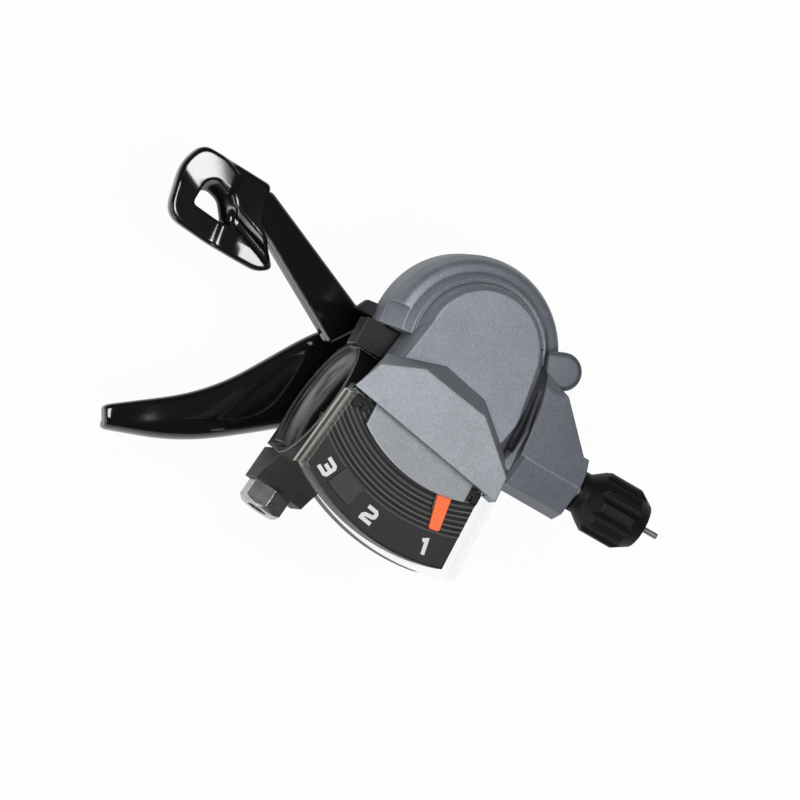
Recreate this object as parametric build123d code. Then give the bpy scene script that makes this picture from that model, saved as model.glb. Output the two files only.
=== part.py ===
from build123d import *
import math
import os

# Trigger gear shifter for the left side of a handlebar. Millimetres.
# Origin: centre of the clamp bore. +X runs along the bar to the cable side,
# +Y points to the front of the bicycle, +Z is up, along the lever pivot.
# The body is drawn square to its cable and then turned a little against the bar.

# Handlebar clamp
BAR_D = 22.2
BODY_TURN = 6.8
CLAMP_CLEARANCE = 0.1
RING_WALL = 1.6
RING_LEFT = -7.4
RING_WIDTH = 12.6
BORE_MOUTH = 0.6
SLIT_WIDTH = 0.8
SLIT_Y = -10.6
EAR_INSET = 1.5
EAR_BOTTOM = -17.2
EAR_REAR = -17.7
EAR_SHOULDER_Z = -10.0
EAR_NECK_Y = -15.4
EAR_NECK_Z = -7.9
EAR_ROOT_Y = -12.2
EAR_ROOT_Z = -3.8
EAR_TOP_Z = -5.5
INNER_EAR_FRONT = -4.2
INNER_EAR_ROOT_Y = -2.1
INNER_EAR_ROOT_Z = -12.2
INNER_EAR_TOP_Z = -7.5
BOLT_D = 5.0
BOLT_Z = -13.6
BOLT_HEAD_AF = 8.0
BOLT_HEAD_H = 4.4
BOLT_CROWN = 0.9
BOLT_TURN = 30.0
BOLT_SOCKET_AF = 4.0
BOLT_SOCKET_DEPTH = 2.4
BOLT_END_Y = -5.4
BOLT_CLEARANCE = 0.2
NECK_LEFT = -7.7
NECK_REAR = 12.4
NECK_LOW = 2.2
NECK_HIGH = 7.4
PAD_LEFT = -2.6
PAD_HALF_HEIGHT = 9.5
PAD_REACH = 0.9
CLAMP_SCREW_D = 3.0
CLAMP_SCREW_X = 1.4
CLAMP_SCREW_Z = 4.9
CLAMP_SCREW_HEAD_D = 4.8
CLAMP_SCREW_HEAD_Y = 11.1
CLAMP_SCREW_HEAD_H = 1.3
CLAMP_SCREW_END_Y = 17.2
CLAMP_BOSS_RIGHT = 4.6
CLAMP_BOSS_FRONT = 18.0

# Lever pivot
PIVOT_X = 13.2
PIVOT_Y = 20.4
AXLE_D = 6.0
RUNNING_FIT = 0.05
END_PLAY = 0.3
SPIGOT_R = 2.0
SPIGOT_DEPTH = 0.8

# Lower housing
HOUSING_R = 14.2
HOUSING_WALL = 1.6
HOUSING_REAR = 12.5
HOUSING_LOW = -7.0
HOUSING_TOP = 10.4
FLANGE_THICK = 2.0
FLANGE_CLEARANCE = 0.2
SMALL_SCREW_D = 2.5
SMALL_SCREW_HEAD_D = 4.4
SMALL_SCREW_HEAD_H = 1.6
SMALL_SCREW_CLEARANCE = 0.2
COVER_SCREW_DEPTH = 3.4
COVER_SCREW_STEP = 2.4
COVER_SCREW_ANGLES = (120.0, 160.0)
BASE_SCREW_DEPTH = 5.0
BASE_BOSS_R = 2.4
BASE_BOSS_STEP = 1.6
BASE_BOSS_ANGLES = (136.0, 178.0, -24.0)
HORN_LOW = 2.6
HORN_TIP_X = -9.8
HORN_TIP_Y = 18.9
HORN_FRONT_X = -8.6
HORN_FRONT_Y = 21.2
HORN_ROOT_REAR = 18.6
HORN_ROOT_FRONT = 22.4

# Dome cover
DOME_X = 11.5
DOME_Y = 21.6
PLATEAU_STEP = 0.7
PLATEAU_Z = 21.0
PLATEAU_EDGE = 0.9
PLATEAU_ROUND = 0.5
VALLEY_STEP = 0.6
VALLEY_Z = 16.9
VALLEY_ROUND = 0.3
FOOT_STEP = 2.3
FOOT_Z = 15.2
FOOT_ROUND = 0.5
RIDGE_STEP = 1.2
RIDGE_Z = 17.4
RIDGE_ROUND = 0.25
SHOULDER_STEP = 1.1
SHOULDER_Z = 14.6
SHOULDER_ROUND = 2.0
SKIRT_STEP = 3.8
SKIRT_ROUND = 3.0
SKIRT_TOP = 11.4
SKIRT_LOW = 5.0
SKIRT_REAR = 18.0
SKIRT_FLARE = 0.2
FLANK_Y = 22.4
FLANK_Z = 10.2
FLANK_STEP = 0.1
FLANK_FOOT = 0.2
COVER_WALL = 1.6
COVER_LEFT = -2.3
COVER_RIGHT = 24.9
COVER_REAR = 4.5
COVER_FLOOR = 13.6
GROOVE_WIDTH = 2.5
GROOVE_LEAN = 1.7
GROOVE_FLOOR = 18.3
GROOVE_BEND = 3.0
GROOVE_FRONT_Y = 27.3
HALL_CORNER = 1.0
BUMP_SEAT = 0.6
BUMP_Y = 26.4
BUMP_R = 3.7
BUMP_ROOT_X = 22.0
BUMP_ROOT_Y = 23.6
BUMP_TOP = 16.6
BUMP_EDGE = 1.2

# Cable boss and wedge on the right of the cover
CABLE_Y = 7.8
CABLE_Z = 17.0
CABLE_D = 1.2
BOSS_LEFT = 27.6
BOSS_FACE = 40.8
BOSS_LOW = 12.4
BOSS_TOP = 21.3
BOSS_FRONT = 13.6
BOSS_RIDGE_Y = 7.8
BOSS_REAR_Y = 2.2
BOSS_REAR_Z = 18.2
BOSS_FOOT_Y = 1.0
BOSS_FOOT_Z = 14.4
BOSS_END_EDGE = 0.9
WEDGE_SLOPE = 13.0
WEDGE_NOSE_X = 40.2
WEDGE_NOSE_Y = 12.2
WEDGE_TAIL_X = 31.5
WEDGE_TAIL_Y = 22.4
WEDGE_ROOT_Y = 25.1
WEDGE_FACE_Y = 10.9

# Hood over the display: corners of its top and of its foot, x then y
HOOD_TOP_Z = 26.0
HOOD_WALL = 1.5
HOOD_MOUTH_LEFT = -5.9
HOOD_MOUTH_RIGHT = 24.2
HOOD_MOUTH_LOW_Y = -4.5
HOOD_MOUTH_HIGH_Y = 4.4
HOOD_TOP = ((-6.4, 8.8), (1.8, 12.2), (16.4, 10.0), (25.6, 1.9), (25.8, -3.0), (-8.9, 2.9))
HOOD_FOOT = ((-4.8, 11.8), (6.5, 15.3), (16.2, 13.4), (24.4, 6.4), (26.2, -3.1), (-7.2, 3.9))
MASK_R = 27.2
MASK_LEFT = -2.4
MASK_RIGHT = 21.4
MASK_FRONT = 6.4
MASK_CORNER = 3.0
MASK_LIFT = 0.5
MASK_THICK = 1.0

# Display
TRAY_LEFT = -6.6
TRAY_LEAN = 3.4
TRAY_RIGHT = 24.9
TRAY_R = 40.3
TRAY_LOW = 14.0
TRAY_TOP = 18.4
TRAY_FLOOR = 1.4
TRAY_FRONT_TOP = 17.6
TRAY_FRONT_DEPTH = 2.8
TAB_LEFT = 8.0
TAB_RIGHT = 24.0
TAB_FRONT = 11.0
TAB_THICK = 1.5
TAB_SCREW_INSET = 2.0
TAB_SCREW_Y = 9.0
TAB_SCREW_D = 2.0
TAB_SCREW_HEAD_D = 3.6
TAB_SCREW_HEAD_H = 1.0
TAB_SCREW_DEPTH = 1.2
PLATE_THICK = 0.8
PLATE_INSET = 0.3
PLATE_INNER_R = 23.0
BAND_R = 34.0
RIDGE_COUNT = 5
RIDGE_PITCH = 1.5
RIDGE_WIDTH = 0.8
RIDGE_HEIGHT = 0.3
STOP_BLOCK_ANGLE = -20.5
STOP_BLOCK_SPAN = 9.0
STOP_BLOCK_R = 38.6
STOP_BLOCK_HEIGHT = 0.6
CLIP_HEIGHT = 1.4
CLIP_WIDTH = 3.4
CLIP_DEPTH = 2.1
CLIP_NOTCH = 0.7
CLIP_LEFT_X = -4.6
CLIP_LEFT_Y = 1.3
CLIP_RIGHT_X = 22.7
CLIP_RIGHT_Y = -3.6
WINDOW_SIDE_GAP = 0.3
WINDOW_GAP = 0.7
WINDOW_WALL = 1.1
WINDOW_LOW = 18.0
LAP_LEFT = -4.2
LAP_RIGHT = 22.6
LAP_FRONT_LEFT = 3.2
LAP_FRONT_RIGHT = -0.8
LAP_REAR = -4.4

# Gears and drum
GEAR_STEP = 19.2
NEEDLE_ANGLE = 10.2
DRUM_LOW = 15.8
DRUM_TOP = 18.2
DRUM_FLANGE = 1.0
DRUM_FROM = -104.0
DRUM_TO = -50.0
HUB_R = 4.3
HUB_LOW = -4.8
COLLAR_R = 6.0
NUT_POCKET_R = 5.0
NUT_AF = 8.0
NUT_H = 2.4
WASHER_R = 4.6
WASHER_H = 0.5
CABLE_GROOVE = 1.5
NIPPLE_D = 3.2
NIPPLE_ANGLE = -100.0
WRAP_END_ANGLE = -93.0
CABLE_END_X = 60.0
CABLE_START = 0.7

# Indicator
ARM_THICK = 0.7
ARM_WIDTH = 3.4
ARM_RISER_GAP = 4.7
ARM_RISER_W = 0.9
ARM_BLADE_Z = 19.7
ARM_BLADE_R = 30.0
NEEDLE_LAP = 6.0
NEEDLE_REACH = 3.7
NEEDLE_WIDTH = 3.1
NEEDLE_TAPER = 0.5
NEEDLE_THICK = 0.7

# Ratchet and pawls
RATCHET_LOW = -4.6
RATCHET_HIGH = -0.4
RATCHET_R = 5.9
TOOTH_R = 8.2
TOOTH_COUNT = 5
TOOTH_FIRST = 38.0
TOOTH_RAKE = 6.0
TOOTH_LEAN = 2.0
TOOTH_ROOT = 0.5
PAWL_THICK = 1.7
PAWL_PIN_D = 2.2
PAWL_HUB_R = 1.9
PAWL_REACH = 0.35
PAWL_CLEARANCE = 0.3
FEED_ANGLE = 104.0
HOLD_ANGLE = 14.0
PAWL_SWEEP = 24.0
PAWL_TIP_R = 0.5

# Springs
SPRING_STRIP = 0.4
SPRING_PITCH = 0.8
DRUM_SPRING_LOW = 3.0
DRUM_SPRING_HIGH = 8.6
DRUM_SPRING_TURNS = 2
LEVER_SPRING_HIGH = -14.5
LEVER_SPRING_LOW = -17.3
LEVER_SPRING_TURNS = 4
SPRING_POST_R = 1.2
RELEASE_WIRE_D = 0.9
RELEASE_COIL_R = 6.4

# Base plate and lever stack
BASE_THICK = 2.0
SLEEVE_R = 4.5
CARRIER_LOW = -6.7
CARRIER_THICK = 1.5
CARRIER_R = 6.0
RELEASE_TOP = -11.0
RELEASE_THICK = 3.0
RELEASE_HUB_R = 7.8
MAIN_TOP = -17.8
MAIN_THICK = 3.4
MAIN_HUB_R = 9.0
CAP_R = 6.5
CAP_H = 2.4
CAP_EDGE = 0.8

# Release arm and pad outlines from the pivot: x, y, corner radius
RELEASE_ARM = (
    (-2.0, 7.4, 0.0), (-13.0, 3.4, 4.0), (-18.2, 0.8, 3.0), (-45.2, 12.4, 2.0),
    (-48.0, 6.4, 2.0), (-40.6, 3.3, 3.0), (-20.2, -8.0, 0.8), (-15.9, -2.0, 1.5), (-3.0, -7.0, 0.0))
PAD_OUTLINE = (
    (-44.6, 13.3, 2.0), (-60.7, 13.3, 2.6), (-62.6, 8.0, 4.0), (-60.4, -2.2, 4.0),
    (-49.6, -3.0, 8.0), (-39.4, -2.9, 2.4), (-36.8, -0.8, 1.6), (-42.6, 5.6, 2.4))
PAD_HOLE = (
    (-57.2, 1.4, 1.0), (-57.0, 8.4, 1.4), (-55.2, 8.6, 1.0), (-49.4, 4.6, 1.0), (-48.6, 1.8, 0.8))
PAD_LOW = -14.8
PAD_HIGH = -9.6
PAD_EDGE = 1.0
PAD_FOOT_EDGE = 1.2
PAD_RIM = 2.4
PAD_DISH_DEPTH = 1.5
ARM_EDGE = 0.5

# Main lever outline from the pivot: x, y, corner radius
MAIN_OUTLINE = (
    (-3.0, 8.4, 0.0), (-20.9, -4.6, 6.0), (-34.8, -26.4, 16.0), (-52.0, -38.7, 2.2),
    (-49.6, -43.7, 2.6), (-34.4, -37.6, 14.0), (-19.4, -26.6, 10.0), (2.0, -8.7, 0.0))
MAIN_EDGE = 0.9
LIP_SHIFT_X = -1.1
LIP_SHIFT_Y = 1.7
LIP_DROP = 2.2
LIP_RIGHT = -17.0

# Barrel adjuster
KNOB_R = 6.3
KNOB_NECK_R = 4.1
KNOB_GAP = 0.6
KNOB_NECK_L = 1.5
KNOB_CONE_L = 3.1
KNOB_BARREL_L = 6.8
KNOB_END_L = 3.0
KNOB_END_R = 4.5
KNOB_FLUTES = 9
FLUTE_R = 1.5
FLUTE_DEPTH = 0.75
STEM_R = 2.5
STEM_BORE_R = 0.95
STEM_GRIP = 9.0
CASING_SEAT_R = 2.3
CASING_SEAT_DEPTH = 3.2

# Values worked out from the sizes above
SKIRT_R = HOUSING_R + SKIRT_STEP
FLANK_R = SKIRT_R - FLANK_STEP
BUMP_X = DOME_X + SKIRT_R - BUMP_SEAT
SHOULDER_R = SKIRT_R - SHOULDER_STEP
FOOT_R = SHOULDER_R - FOOT_STEP
RIDGE_R = FOOT_R - RIDGE_STEP
VALLEY_R = RIDGE_R - VALLEY_STEP
PLATEAU_R = VALLEY_R - PLATEAU_STEP
COVER_SCREW_RADIUS = HOUSING_R + COVER_SCREW_STEP
BASE_BOSS_RADIUS = HOUSING_R - HOUSING_WALL - BASE_BOSS_STEP
PAWL_ORBIT = HOUSING_R - HOUSING_WALL - PAWL_CLEARANCE - PAWL_HUB_R
ARM_RISER_R = PIVOT_Y - COVER_REAR + ARM_RISER_GAP
NEEDLE_FROM = ARM_BLADE_R - NEEDLE_LAP
NEEDLE_TIP_R = ARM_BLADE_R + NEEDLE_REACH
BORE_R = BAR_D / 2 + CLAMP_CLEARANCE
RING_R = BORE_R + RING_WALL
SHAFT_R = AXLE_D / 2
SHAFT_BORE = SHAFT_R + RUNNING_FIT
HOUSING_LEFT = PIVOT_X - HOUSING_R
HOUSING_RIGHT = PIVOT_X + HOUSING_R
BASE_LOW = HOUSING_LOW - BASE_THICK
DRUM_GROOVE_R = PIVOT_Y - CABLE_Y
DRUM_R = DRUM_GROOVE_R + DRUM_FLANGE
CEILING = PLATEAU_Z - COVER_WALL
WINDOW_TOP = HOOD_TOP_Z - HOOD_WALL
PLATE_TOP = TRAY_TOP + PLATE_THICK
MAIN_LOW = MAIN_TOP - MAIN_THICK
NEEDLE_DIRECTION = NEEDLE_ANGLE - 90
NECK_FRONT = SKIRT_REAR
FAR = 90.0
OVERRUN = 1.0

os.makedirs("parts", exist_ok=True)
written = []


def save(shape, name):
    """Turn one node against the bar and write it. A list holds several equal pieces of one node."""
    turn = Rot(0, 0, BODY_TURN)
    if isinstance(shape, list):
        turned = Compound(children=[turn * piece for piece in shape])
    else:
        turned = turn * shape
    export_step(turned, "parts/" + name + ".step")
    written.append(name)


def rounded(corners):
    """A closed face with each corner (x, y, radius) rounded by an arc."""
    edges = []
    joints = []
    count = len(corners)
    for i in range(count):
        corner = Vector(corners[i][0], corners[i][1])
        before = Vector(corners[i - 1][0], corners[i - 1][1])
        after = Vector(corners[(i + 1) % count][0], corners[(i + 1) % count][1])
        radius = corners[i][2]
        back = (before - corner).normalized()
        ahead = (after - corner).normalized()
        half = math.radians(back.get_angle(ahead)) / 2
        run = radius / math.tan(half)
        bisector = (back + ahead).normalized()
        middle = corner + bisector * (radius / math.sin(half) - radius)
        joints.append((corner + back * run, middle, corner + ahead * run, radius))
    for i in range(count):
        start, middle, end, radius = joints[i]
        following = joints[(i + 1) % count][0]
        if radius > 0:
            edges.append(ThreePointArc(start, middle, end))
        edges.append(Line(end, following))
    return make_face(edges)


def sharp(points):
    """A closed face with sharp corners."""
    return rounded([(x, y, 0) for x, y in points])


def slab(face, low, high):
    """A flat face raised from one height to another."""
    return extrude(Pos(0, 0, low) * face, amount=high - low, dir=(0, 0, 1))


def slab_x(points, low, high):
    """A section in Y and Z, extruded along X."""
    return extrude(Plane.YZ.offset(low) * sharp(points), amount=high - low)


def block(x0, x1, y0, y1, z0, z1):
    """A box between two corners."""
    return Pos((x0 + x1) / 2, (y0 + y1) / 2, (z0 + z1) / 2) * Box(x1 - x0, y1 - y0, z1 - z0)


def post(x, y, low, high, radius):
    """A round bar along Z."""
    return Pos(x, y, (low + high) / 2) * Cylinder(radius, high - low)


def bar_x(y, z, low, high, radius):
    """A round bar along X."""
    return Pos((low + high) / 2, y, z) * Rot(0, 90, 0) * Cylinder(radius, high - low)


def bar_y(x, z, low, high, radius):
    """A round bar along Y."""
    return Pos(x, (low + high) / 2, z) * Rot(90, 0, 0) * Cylinder(radius, high - low)


def on_bar(shape):
    """Turn a shape drawn square to the bar into the frame of the body."""
    return Rot(0, 0, -BODY_TURN) * shape


def around(radius, degrees):
    """A point round the origin, from its radius and its angle from +X."""
    turn = math.radians(degrees)
    return (radius * math.cos(turn), radius * math.sin(turn))


def polar(radius, degrees):
    """The same point round the lever pivot."""
    x, y = around(radius, degrees)
    return (PIVOT_X + x, PIVOT_Y + y)


def at_pivot(shape):
    """Move a shape drawn round the origin to the lever pivot."""
    return Pos(PIVOT_X, PIVOT_Y, 0) * shape


def hexagon(across_flats):
    """A hexagon face, flat to flat."""
    return RegularPolygon(across_flats / 2, 6, major_radius=False)


def sector(radius, start, end):
    """A pie slice of a disc round the pivot."""
    middle = (start + end) / 2
    points = [(PIVOT_X, PIVOT_Y)]
    for angle in (start, middle, end):
        points.append(polar(2 * radius, angle))
    return sharp(points) & at_pivot(Circle(radius))


def spiral_strip(inner, turns, low, high):
    """A flat spiral spring strip made of half circles that step outward."""
    pieces = []
    radius = inner
    shift = 0.0
    for half_turn in range(2 * turns):
        ring = Circle(radius + SPRING_STRIP) - Circle(radius)
        side = 1 if half_turn % 2 == 0 else -1
        half_plane = Pos(0, side * FAR / 2) * Rectangle(2 * FAR, FAR)
        pieces.append(Pos(shift, 0) * (ring & half_plane))
        radius += SPRING_PITCH / 2
        shift += side * SPRING_PITCH / 2
    face = pieces[0]
    for piece in pieces[1:]:
        face = face + piece
    tail = radius - SPRING_PITCH / 2 - side * SPRING_PITCH / 2
    return at_pivot(slab(face, low, high)), tail


def housing_face(radius, rear):
    """The D outline of the housing: round at the front, flat towards the bar."""
    width = 2 * radius
    flat = Pos(PIVOT_X, (rear + PIVOT_Y) / 2) * Rectangle(width, PIVOT_Y - rear)
    front = at_pivot(Circle(radius)) & Pos(PIVOT_X, PIVOT_Y + FAR / 2) * Rectangle(2 * FAR, FAR)
    return flat + front


def display_face(margin, radius):
    """Outline of the display: leaning left side, straight right side, round rear."""
    left = TRAY_LEFT - margin
    right = TRAY_RIGHT + margin
    lean = TRAY_LEAN * FAR / (COVER_REAR + TRAY_R - PIVOT_Y)
    outline = sharp(((left, COVER_REAR), (right, COVER_REAR), (right, COVER_REAR - FAR),
                     (left - lean, COVER_REAR - FAR)))
    return outline & at_pivot(Circle(radius))


# Clamp: a split ring with two ears, a pad on the housing and a front neck
outer_ear = ((EAR_REAR, EAR_BOTTOM), (SLIT_Y, EAR_BOTTOM), (SLIT_Y, EAR_TOP_Z), (EAR_ROOT_Y, EAR_ROOT_Z),
             (EAR_NECK_Y, EAR_NECK_Z), (EAR_REAR, EAR_SHOULDER_Z))
inner_ear = ((SLIT_Y, EAR_BOTTOM), (INNER_EAR_FRONT, EAR_BOTTOM), (INNER_EAR_ROOT_Y, INNER_EAR_ROOT_Z),
             (SLIT_Y, INNER_EAR_TOP_Z))
ring_right = RING_LEFT + RING_WIDTH
bolt_x = RING_LEFT + RING_WIDTH / 2
ring = bar_x(0, 0, RING_LEFT, ring_right, RING_R)
ear_left = RING_LEFT + EAR_INSET
ring += slab_x(outer_ear, ear_left, ring_right)
ring += slab_x(inner_ear, ear_left, ring_right)
ring += block(PAD_LEFT, ring_right, 0, HOUSING_REAR + PAD_REACH, -PAD_HALF_HEIGHT, PAD_HALF_HEIGHT)
mouth = Cone(BORE_R + BORE_MOUTH, BORE_R, BORE_MOUTH)
ring -= Pos(RING_LEFT + BORE_MOUTH / 2, 0, 0) * Rot(0, 90, 0) * mouth
ring -= Pos(ring_right - BORE_MOUTH / 2, 0, 0) * Rot(0, -90, 0) * mouth
ring -= block(-FAR, FAR, SLIT_Y - SLIT_WIDTH / 2, SLIT_Y + SLIT_WIDTH / 2, -FAR, -SLIT_WIDTH)
ring -= bar_y(bolt_x, BOLT_Z, EAR_REAR - OVERRUN, SLIT_Y, BOLT_D / 2 + BOLT_CLEARANCE)
ring -= bar_y(bolt_x, BOLT_Z, SLIT_Y, 0, BOLT_D / 2)
clamp = on_bar(ring) + block(NECK_LEFT, HOUSING_LEFT, NECK_REAR, NECK_FRONT, NECK_LOW, NECK_HIGH)
clamp -= on_bar(bar_x(0, 0, -FAR, FAR, BORE_R))
clamp -= block(HOUSING_LEFT, FAR, HOUSING_REAR, FAR, -FAR, FAR)
screw_heights = (-CLAMP_SCREW_Z, CLAMP_SCREW_Z)
countersink = Cone(CLAMP_SCREW_HEAD_D / 2, CLAMP_SCREW_D / 2, CLAMP_SCREW_HEAD_H)
countersink = Rot(-90, 0, 0) * Pos(0, 0, CLAMP_SCREW_HEAD_H / 2) * countersink
shank_start = CLAMP_SCREW_HEAD_Y + CLAMP_SCREW_HEAD_H
clamp_screws = []
for height in screw_heights:
    head = Pos(CLAMP_SCREW_X, CLAMP_SCREW_HEAD_Y, height) * countersink
    shank = bar_y(CLAMP_SCREW_X, height, shank_start, CLAMP_SCREW_END_Y, CLAMP_SCREW_D / 2)
    clamp_screws.append(head + shank)
    clamp -= head + shank
    clamp -= bar_y(CLAMP_SCREW_X, height, 0, CLAMP_SCREW_HEAD_Y, CLAMP_SCREW_HEAD_D / 2)
save(clamp, "clamp_band")
save(clamp_screws, "clamp_screws")

head = slab(hexagon(BOLT_HEAD_AF), 0, BOLT_HEAD_H)
crown = post(0, 0, 0, BOLT_HEAD_H, hexagon(BOLT_HEAD_AF).bounding_box().size.X / 2)
head &= chamfer(crown.edges().sort_by(Axis.Z)[-1], BOLT_CROWN)
head -= slab(hexagon(BOLT_SOCKET_AF), BOLT_HEAD_H - BOLT_SOCKET_DEPTH, BOLT_HEAD_H)
bolt = bar_y(bolt_x, BOLT_Z, EAR_REAR, BOLT_END_Y, BOLT_D / 2)
bolt += Pos(bolt_x, EAR_REAR, BOLT_Z) * Rot(90, 0, 0) * Rot(0, 0, BOLT_TURN) * head
save(on_bar(bolt), "clamp_bolt")

# Lower housing: a D shaped cup with a flange that plugs into the dome
inner_d = housing_face(HOUSING_R - HOUSING_WALL, HOUSING_REAR + HOUSING_WALL)
flange_r = SKIRT_R - COVER_WALL - FLANGE_CLEARANCE
flange = Pos(DOME_X, DOME_Y) * Circle(flange_r) + Pos(BUMP_X, BUMP_Y) * Circle(BUMP_R)
flange = slab(flange, HOUSING_TOP - FLANGE_THICK, HOUSING_TOP)
flange -= block(-FAR, FAR, -FAR, HOUSING_REAR, -FAR, FAR)
flange -= block(-FAR, HOUSING_LEFT, -FAR, NECK_FRONT + FLANGE_CLEARANCE, -FAR, FAR)
flange -= block(HOUSING_RIGHT, FAR, -FAR, SKIRT_REAR + FLANGE_CLEARANCE, -FAR, FAR)
housing = slab(housing_face(HOUSING_R, HOUSING_REAR), HOUSING_LOW, HOUSING_TOP) + flange
housing -= slab(inner_d, HOUSING_LOW, HOUSING_TOP)
housing += block(HOUSING_LEFT, CLAMP_BOSS_RIGHT, HOUSING_REAR, CLAMP_BOSS_FRONT, HOUSING_LOW, HOUSING_TOP)
housing_core = slab(housing_face(HOUSING_R, HOUSING_REAR), HOUSING_LOW, HOUSING_TOP)
horn_root = HOUSING_LEFT + HOUSING_WALL / 2
housing += slab(sharp(((horn_root, HORN_ROOT_REAR), (HORN_TIP_X, HORN_TIP_Y), (HORN_FRONT_X, HORN_FRONT_Y),
                       (horn_root, HORN_ROOT_FRONT))), HORN_LOW, SKIRT_LOW)
boss_high = HOUSING_LOW + BASE_SCREW_DEPTH + HOUSING_WALL
base_points = [polar(BASE_BOSS_RADIUS, angle) for angle in BASE_BOSS_ANGLES]
for x, y in base_points:
    housing += post(x, y, HOUSING_LOW, boss_high, BASE_BOSS_R) & housing_core
    housing -= post(x, y, HOUSING_LOW, HOUSING_LOW + BASE_SCREW_DEPTH, SMALL_SCREW_D / 2)
for height in screw_heights:
    housing -= bar_y(CLAMP_SCREW_X, height, HOUSING_REAR, CLAMP_SCREW_END_Y, CLAMP_SCREW_D / 2)
cover_points = [polar(COVER_SCREW_RADIUS, angle) for angle in COVER_SCREW_ANGLES] + [(BUMP_X, BUMP_Y)]
flange_low = HOUSING_TOP - FLANGE_THICK
head_low = flange_low - SMALL_SCREW_HEAD_H
head_pocket_r = SMALL_SCREW_HEAD_D / 2 + SMALL_SCREW_CLEARANCE
cover_screws = []
for x, y in cover_points:
    housing -= post(x, y, flange_low, HOUSING_TOP, SMALL_SCREW_D / 2 + SMALL_SCREW_CLEARANCE)
    housing -= post(x, y, head_low, flange_low, head_pocket_r)
    head = post(x, y, head_low, flange_low, SMALL_SCREW_HEAD_D / 2)
    cover_screws.append(head + post(x, y, flange_low, HOUSING_TOP + COVER_SCREW_DEPTH, SMALL_SCREW_D / 2))
save(housing, "lower_housing")
save(cover_screws, "cover_screws")

# Dome cover: turned dome, straight rear hall over the drum, wedge and cable boss
profile = rounded(((0, SKIRT_LOW, 0), (SKIRT_R + SKIRT_FLARE, SKIRT_LOW, 0), (SKIRT_R, SKIRT_TOP, SKIRT_ROUND),
                   (SHOULDER_R, SHOULDER_Z, SHOULDER_ROUND), (FOOT_R, FOOT_Z, FOOT_ROUND),
                   (RIDGE_R, RIDGE_Z, RIDGE_ROUND), (VALLEY_R, VALLEY_Z, VALLEY_ROUND),
                   (PLATEAU_R, PLATEAU_Z - PLATEAU_EDGE, PLATEAU_ROUND),
                   (PLATEAU_R - PLATEAU_EDGE, PLATEAU_Z, PLATEAU_ROUND), (0, PLATEAU_Z, 0)))
dome = Pos(DOME_X, DOME_Y, 0) * revolve(Plane.XZ * profile, Axis.Z)
flank = block(-FAR, DOME_X, -FAR, FLANK_Y, FLANK_Z, FAR)
flank_top_r = RIDGE_R + FLANK_FOOT
flank -= Pos(DOME_X, DOME_Y, (FLANK_Z + RIDGE_Z) / 2) * Cone(FLANK_R, flank_top_r, RIDGE_Z - FLANK_Z)
dome -= flank - post(DOME_X, DOME_Y, RIDGE_Z, FAR, flank_top_r)
dome -= block(-FAR, FAR, -FAR, SKIRT_REAR, -FAR, FAR)
hall_front_left = DOME_X - PLATEAU_R
hall_front_right = DOME_X + PLATEAU_R
hall = rounded(((hall_front_left, DOME_Y, 0), (COVER_LEFT, HOUSING_REAR, 0),
                (COVER_LEFT, COVER_REAR, HALL_CORNER), (COVER_RIGHT, COVER_REAR, HALL_CORNER),
                (COVER_RIGHT, HOUSING_REAR, 0), (hall_front_right, DOME_Y, 0)))
hall = slab(hall, HOUSING_TOP, PLATEAU_Z)
hall = chamfer(hall.edges().group_by(Axis.Z)[-1].sort_by(Axis.Y)[:-1], PLATEAU_EDGE)
hall -= block(-FAR, FAR, -FAR, HOUSING_REAR, HOUSING_TOP, COVER_FLOOR)
wedge = sharp(((hall_front_right, WEDGE_ROOT_Y), (WEDGE_TAIL_X, WEDGE_TAIL_Y), (WEDGE_NOSE_X, WEDGE_NOSE_Y),
               (BOSS_FACE, WEDGE_FACE_Y), (BOSS_FACE, CABLE_Y), (COVER_RIGHT, CABLE_Y)))
wedge_drop = math.tan(math.radians(WEDGE_SLOPE))
boss_front_z = BOSS_TOP - wedge_drop * (BOSS_FRONT - BOSS_RIDGE_Y)
wedge_root_z = BOSS_TOP - wedge_drop * (WEDGE_ROOT_Y - BOSS_RIDGE_Y)
wedge = slab(wedge, COVER_FLOOR, BOSS_TOP)
wedge &= slab_x(((BOSS_RIDGE_Y, COVER_FLOOR), (WEDGE_ROOT_Y, COVER_FLOOR), (WEDGE_ROOT_Y, wedge_root_z),
                 (BOSS_RIDGE_Y, BOSS_TOP)), 0, BOSS_FACE)
boss = slab_x(((BOSS_FRONT, BOSS_LOW), (BOSS_FRONT, boss_front_z), (BOSS_RIDGE_Y, BOSS_TOP),
               (BOSS_REAR_Y, BOSS_REAR_Z), (BOSS_FOOT_Y, BOSS_FOOT_Z), (BOSS_REAR_Y, BOSS_LOW)),
              BOSS_LEFT, BOSS_FACE)
boss_end = boss.faces().sort_by(Axis.X)[0].edges()
boss_slope = [edge for edge in boss_end if edge.center().Z > BOSS_REAR_Z and edge.center().Y < BOSS_RIDGE_Y]
boss = chamfer(boss_slope, BOSS_END_EDGE)
boss &= slab(sharp(((BOSS_LEFT, BOSS_FOOT_Y), (BOSS_LEFT, BOSS_FRONT), (WEDGE_NOSE_X, BOSS_FRONT),
                    (BOSS_FACE, WEDGE_FACE_Y), (BOSS_FACE, BOSS_FOOT_Y))), BOSS_LOW, BOSS_TOP)
bridge = block(COVER_RIGHT - COVER_WALL, BOSS_LEFT + COVER_WALL, COVER_REAR, SKIRT_REAR + COVER_WALL,
               COVER_FLOOR, GROOVE_FLOOR)
bump = Pos(BUMP_X, BUMP_Y) * Circle(BUMP_R) + Pos(BUMP_ROOT_X, BUMP_ROOT_Y) * Circle(BUMP_R)
bump = slab(make_hull(bump.edges()), HOUSING_TOP, BUMP_TOP)
bump = fillet(bump.edges().group_by(Axis.Z)[-1], BUMP_EDGE)
cover = dome + hall + wedge + boss + bridge + bump

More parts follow.
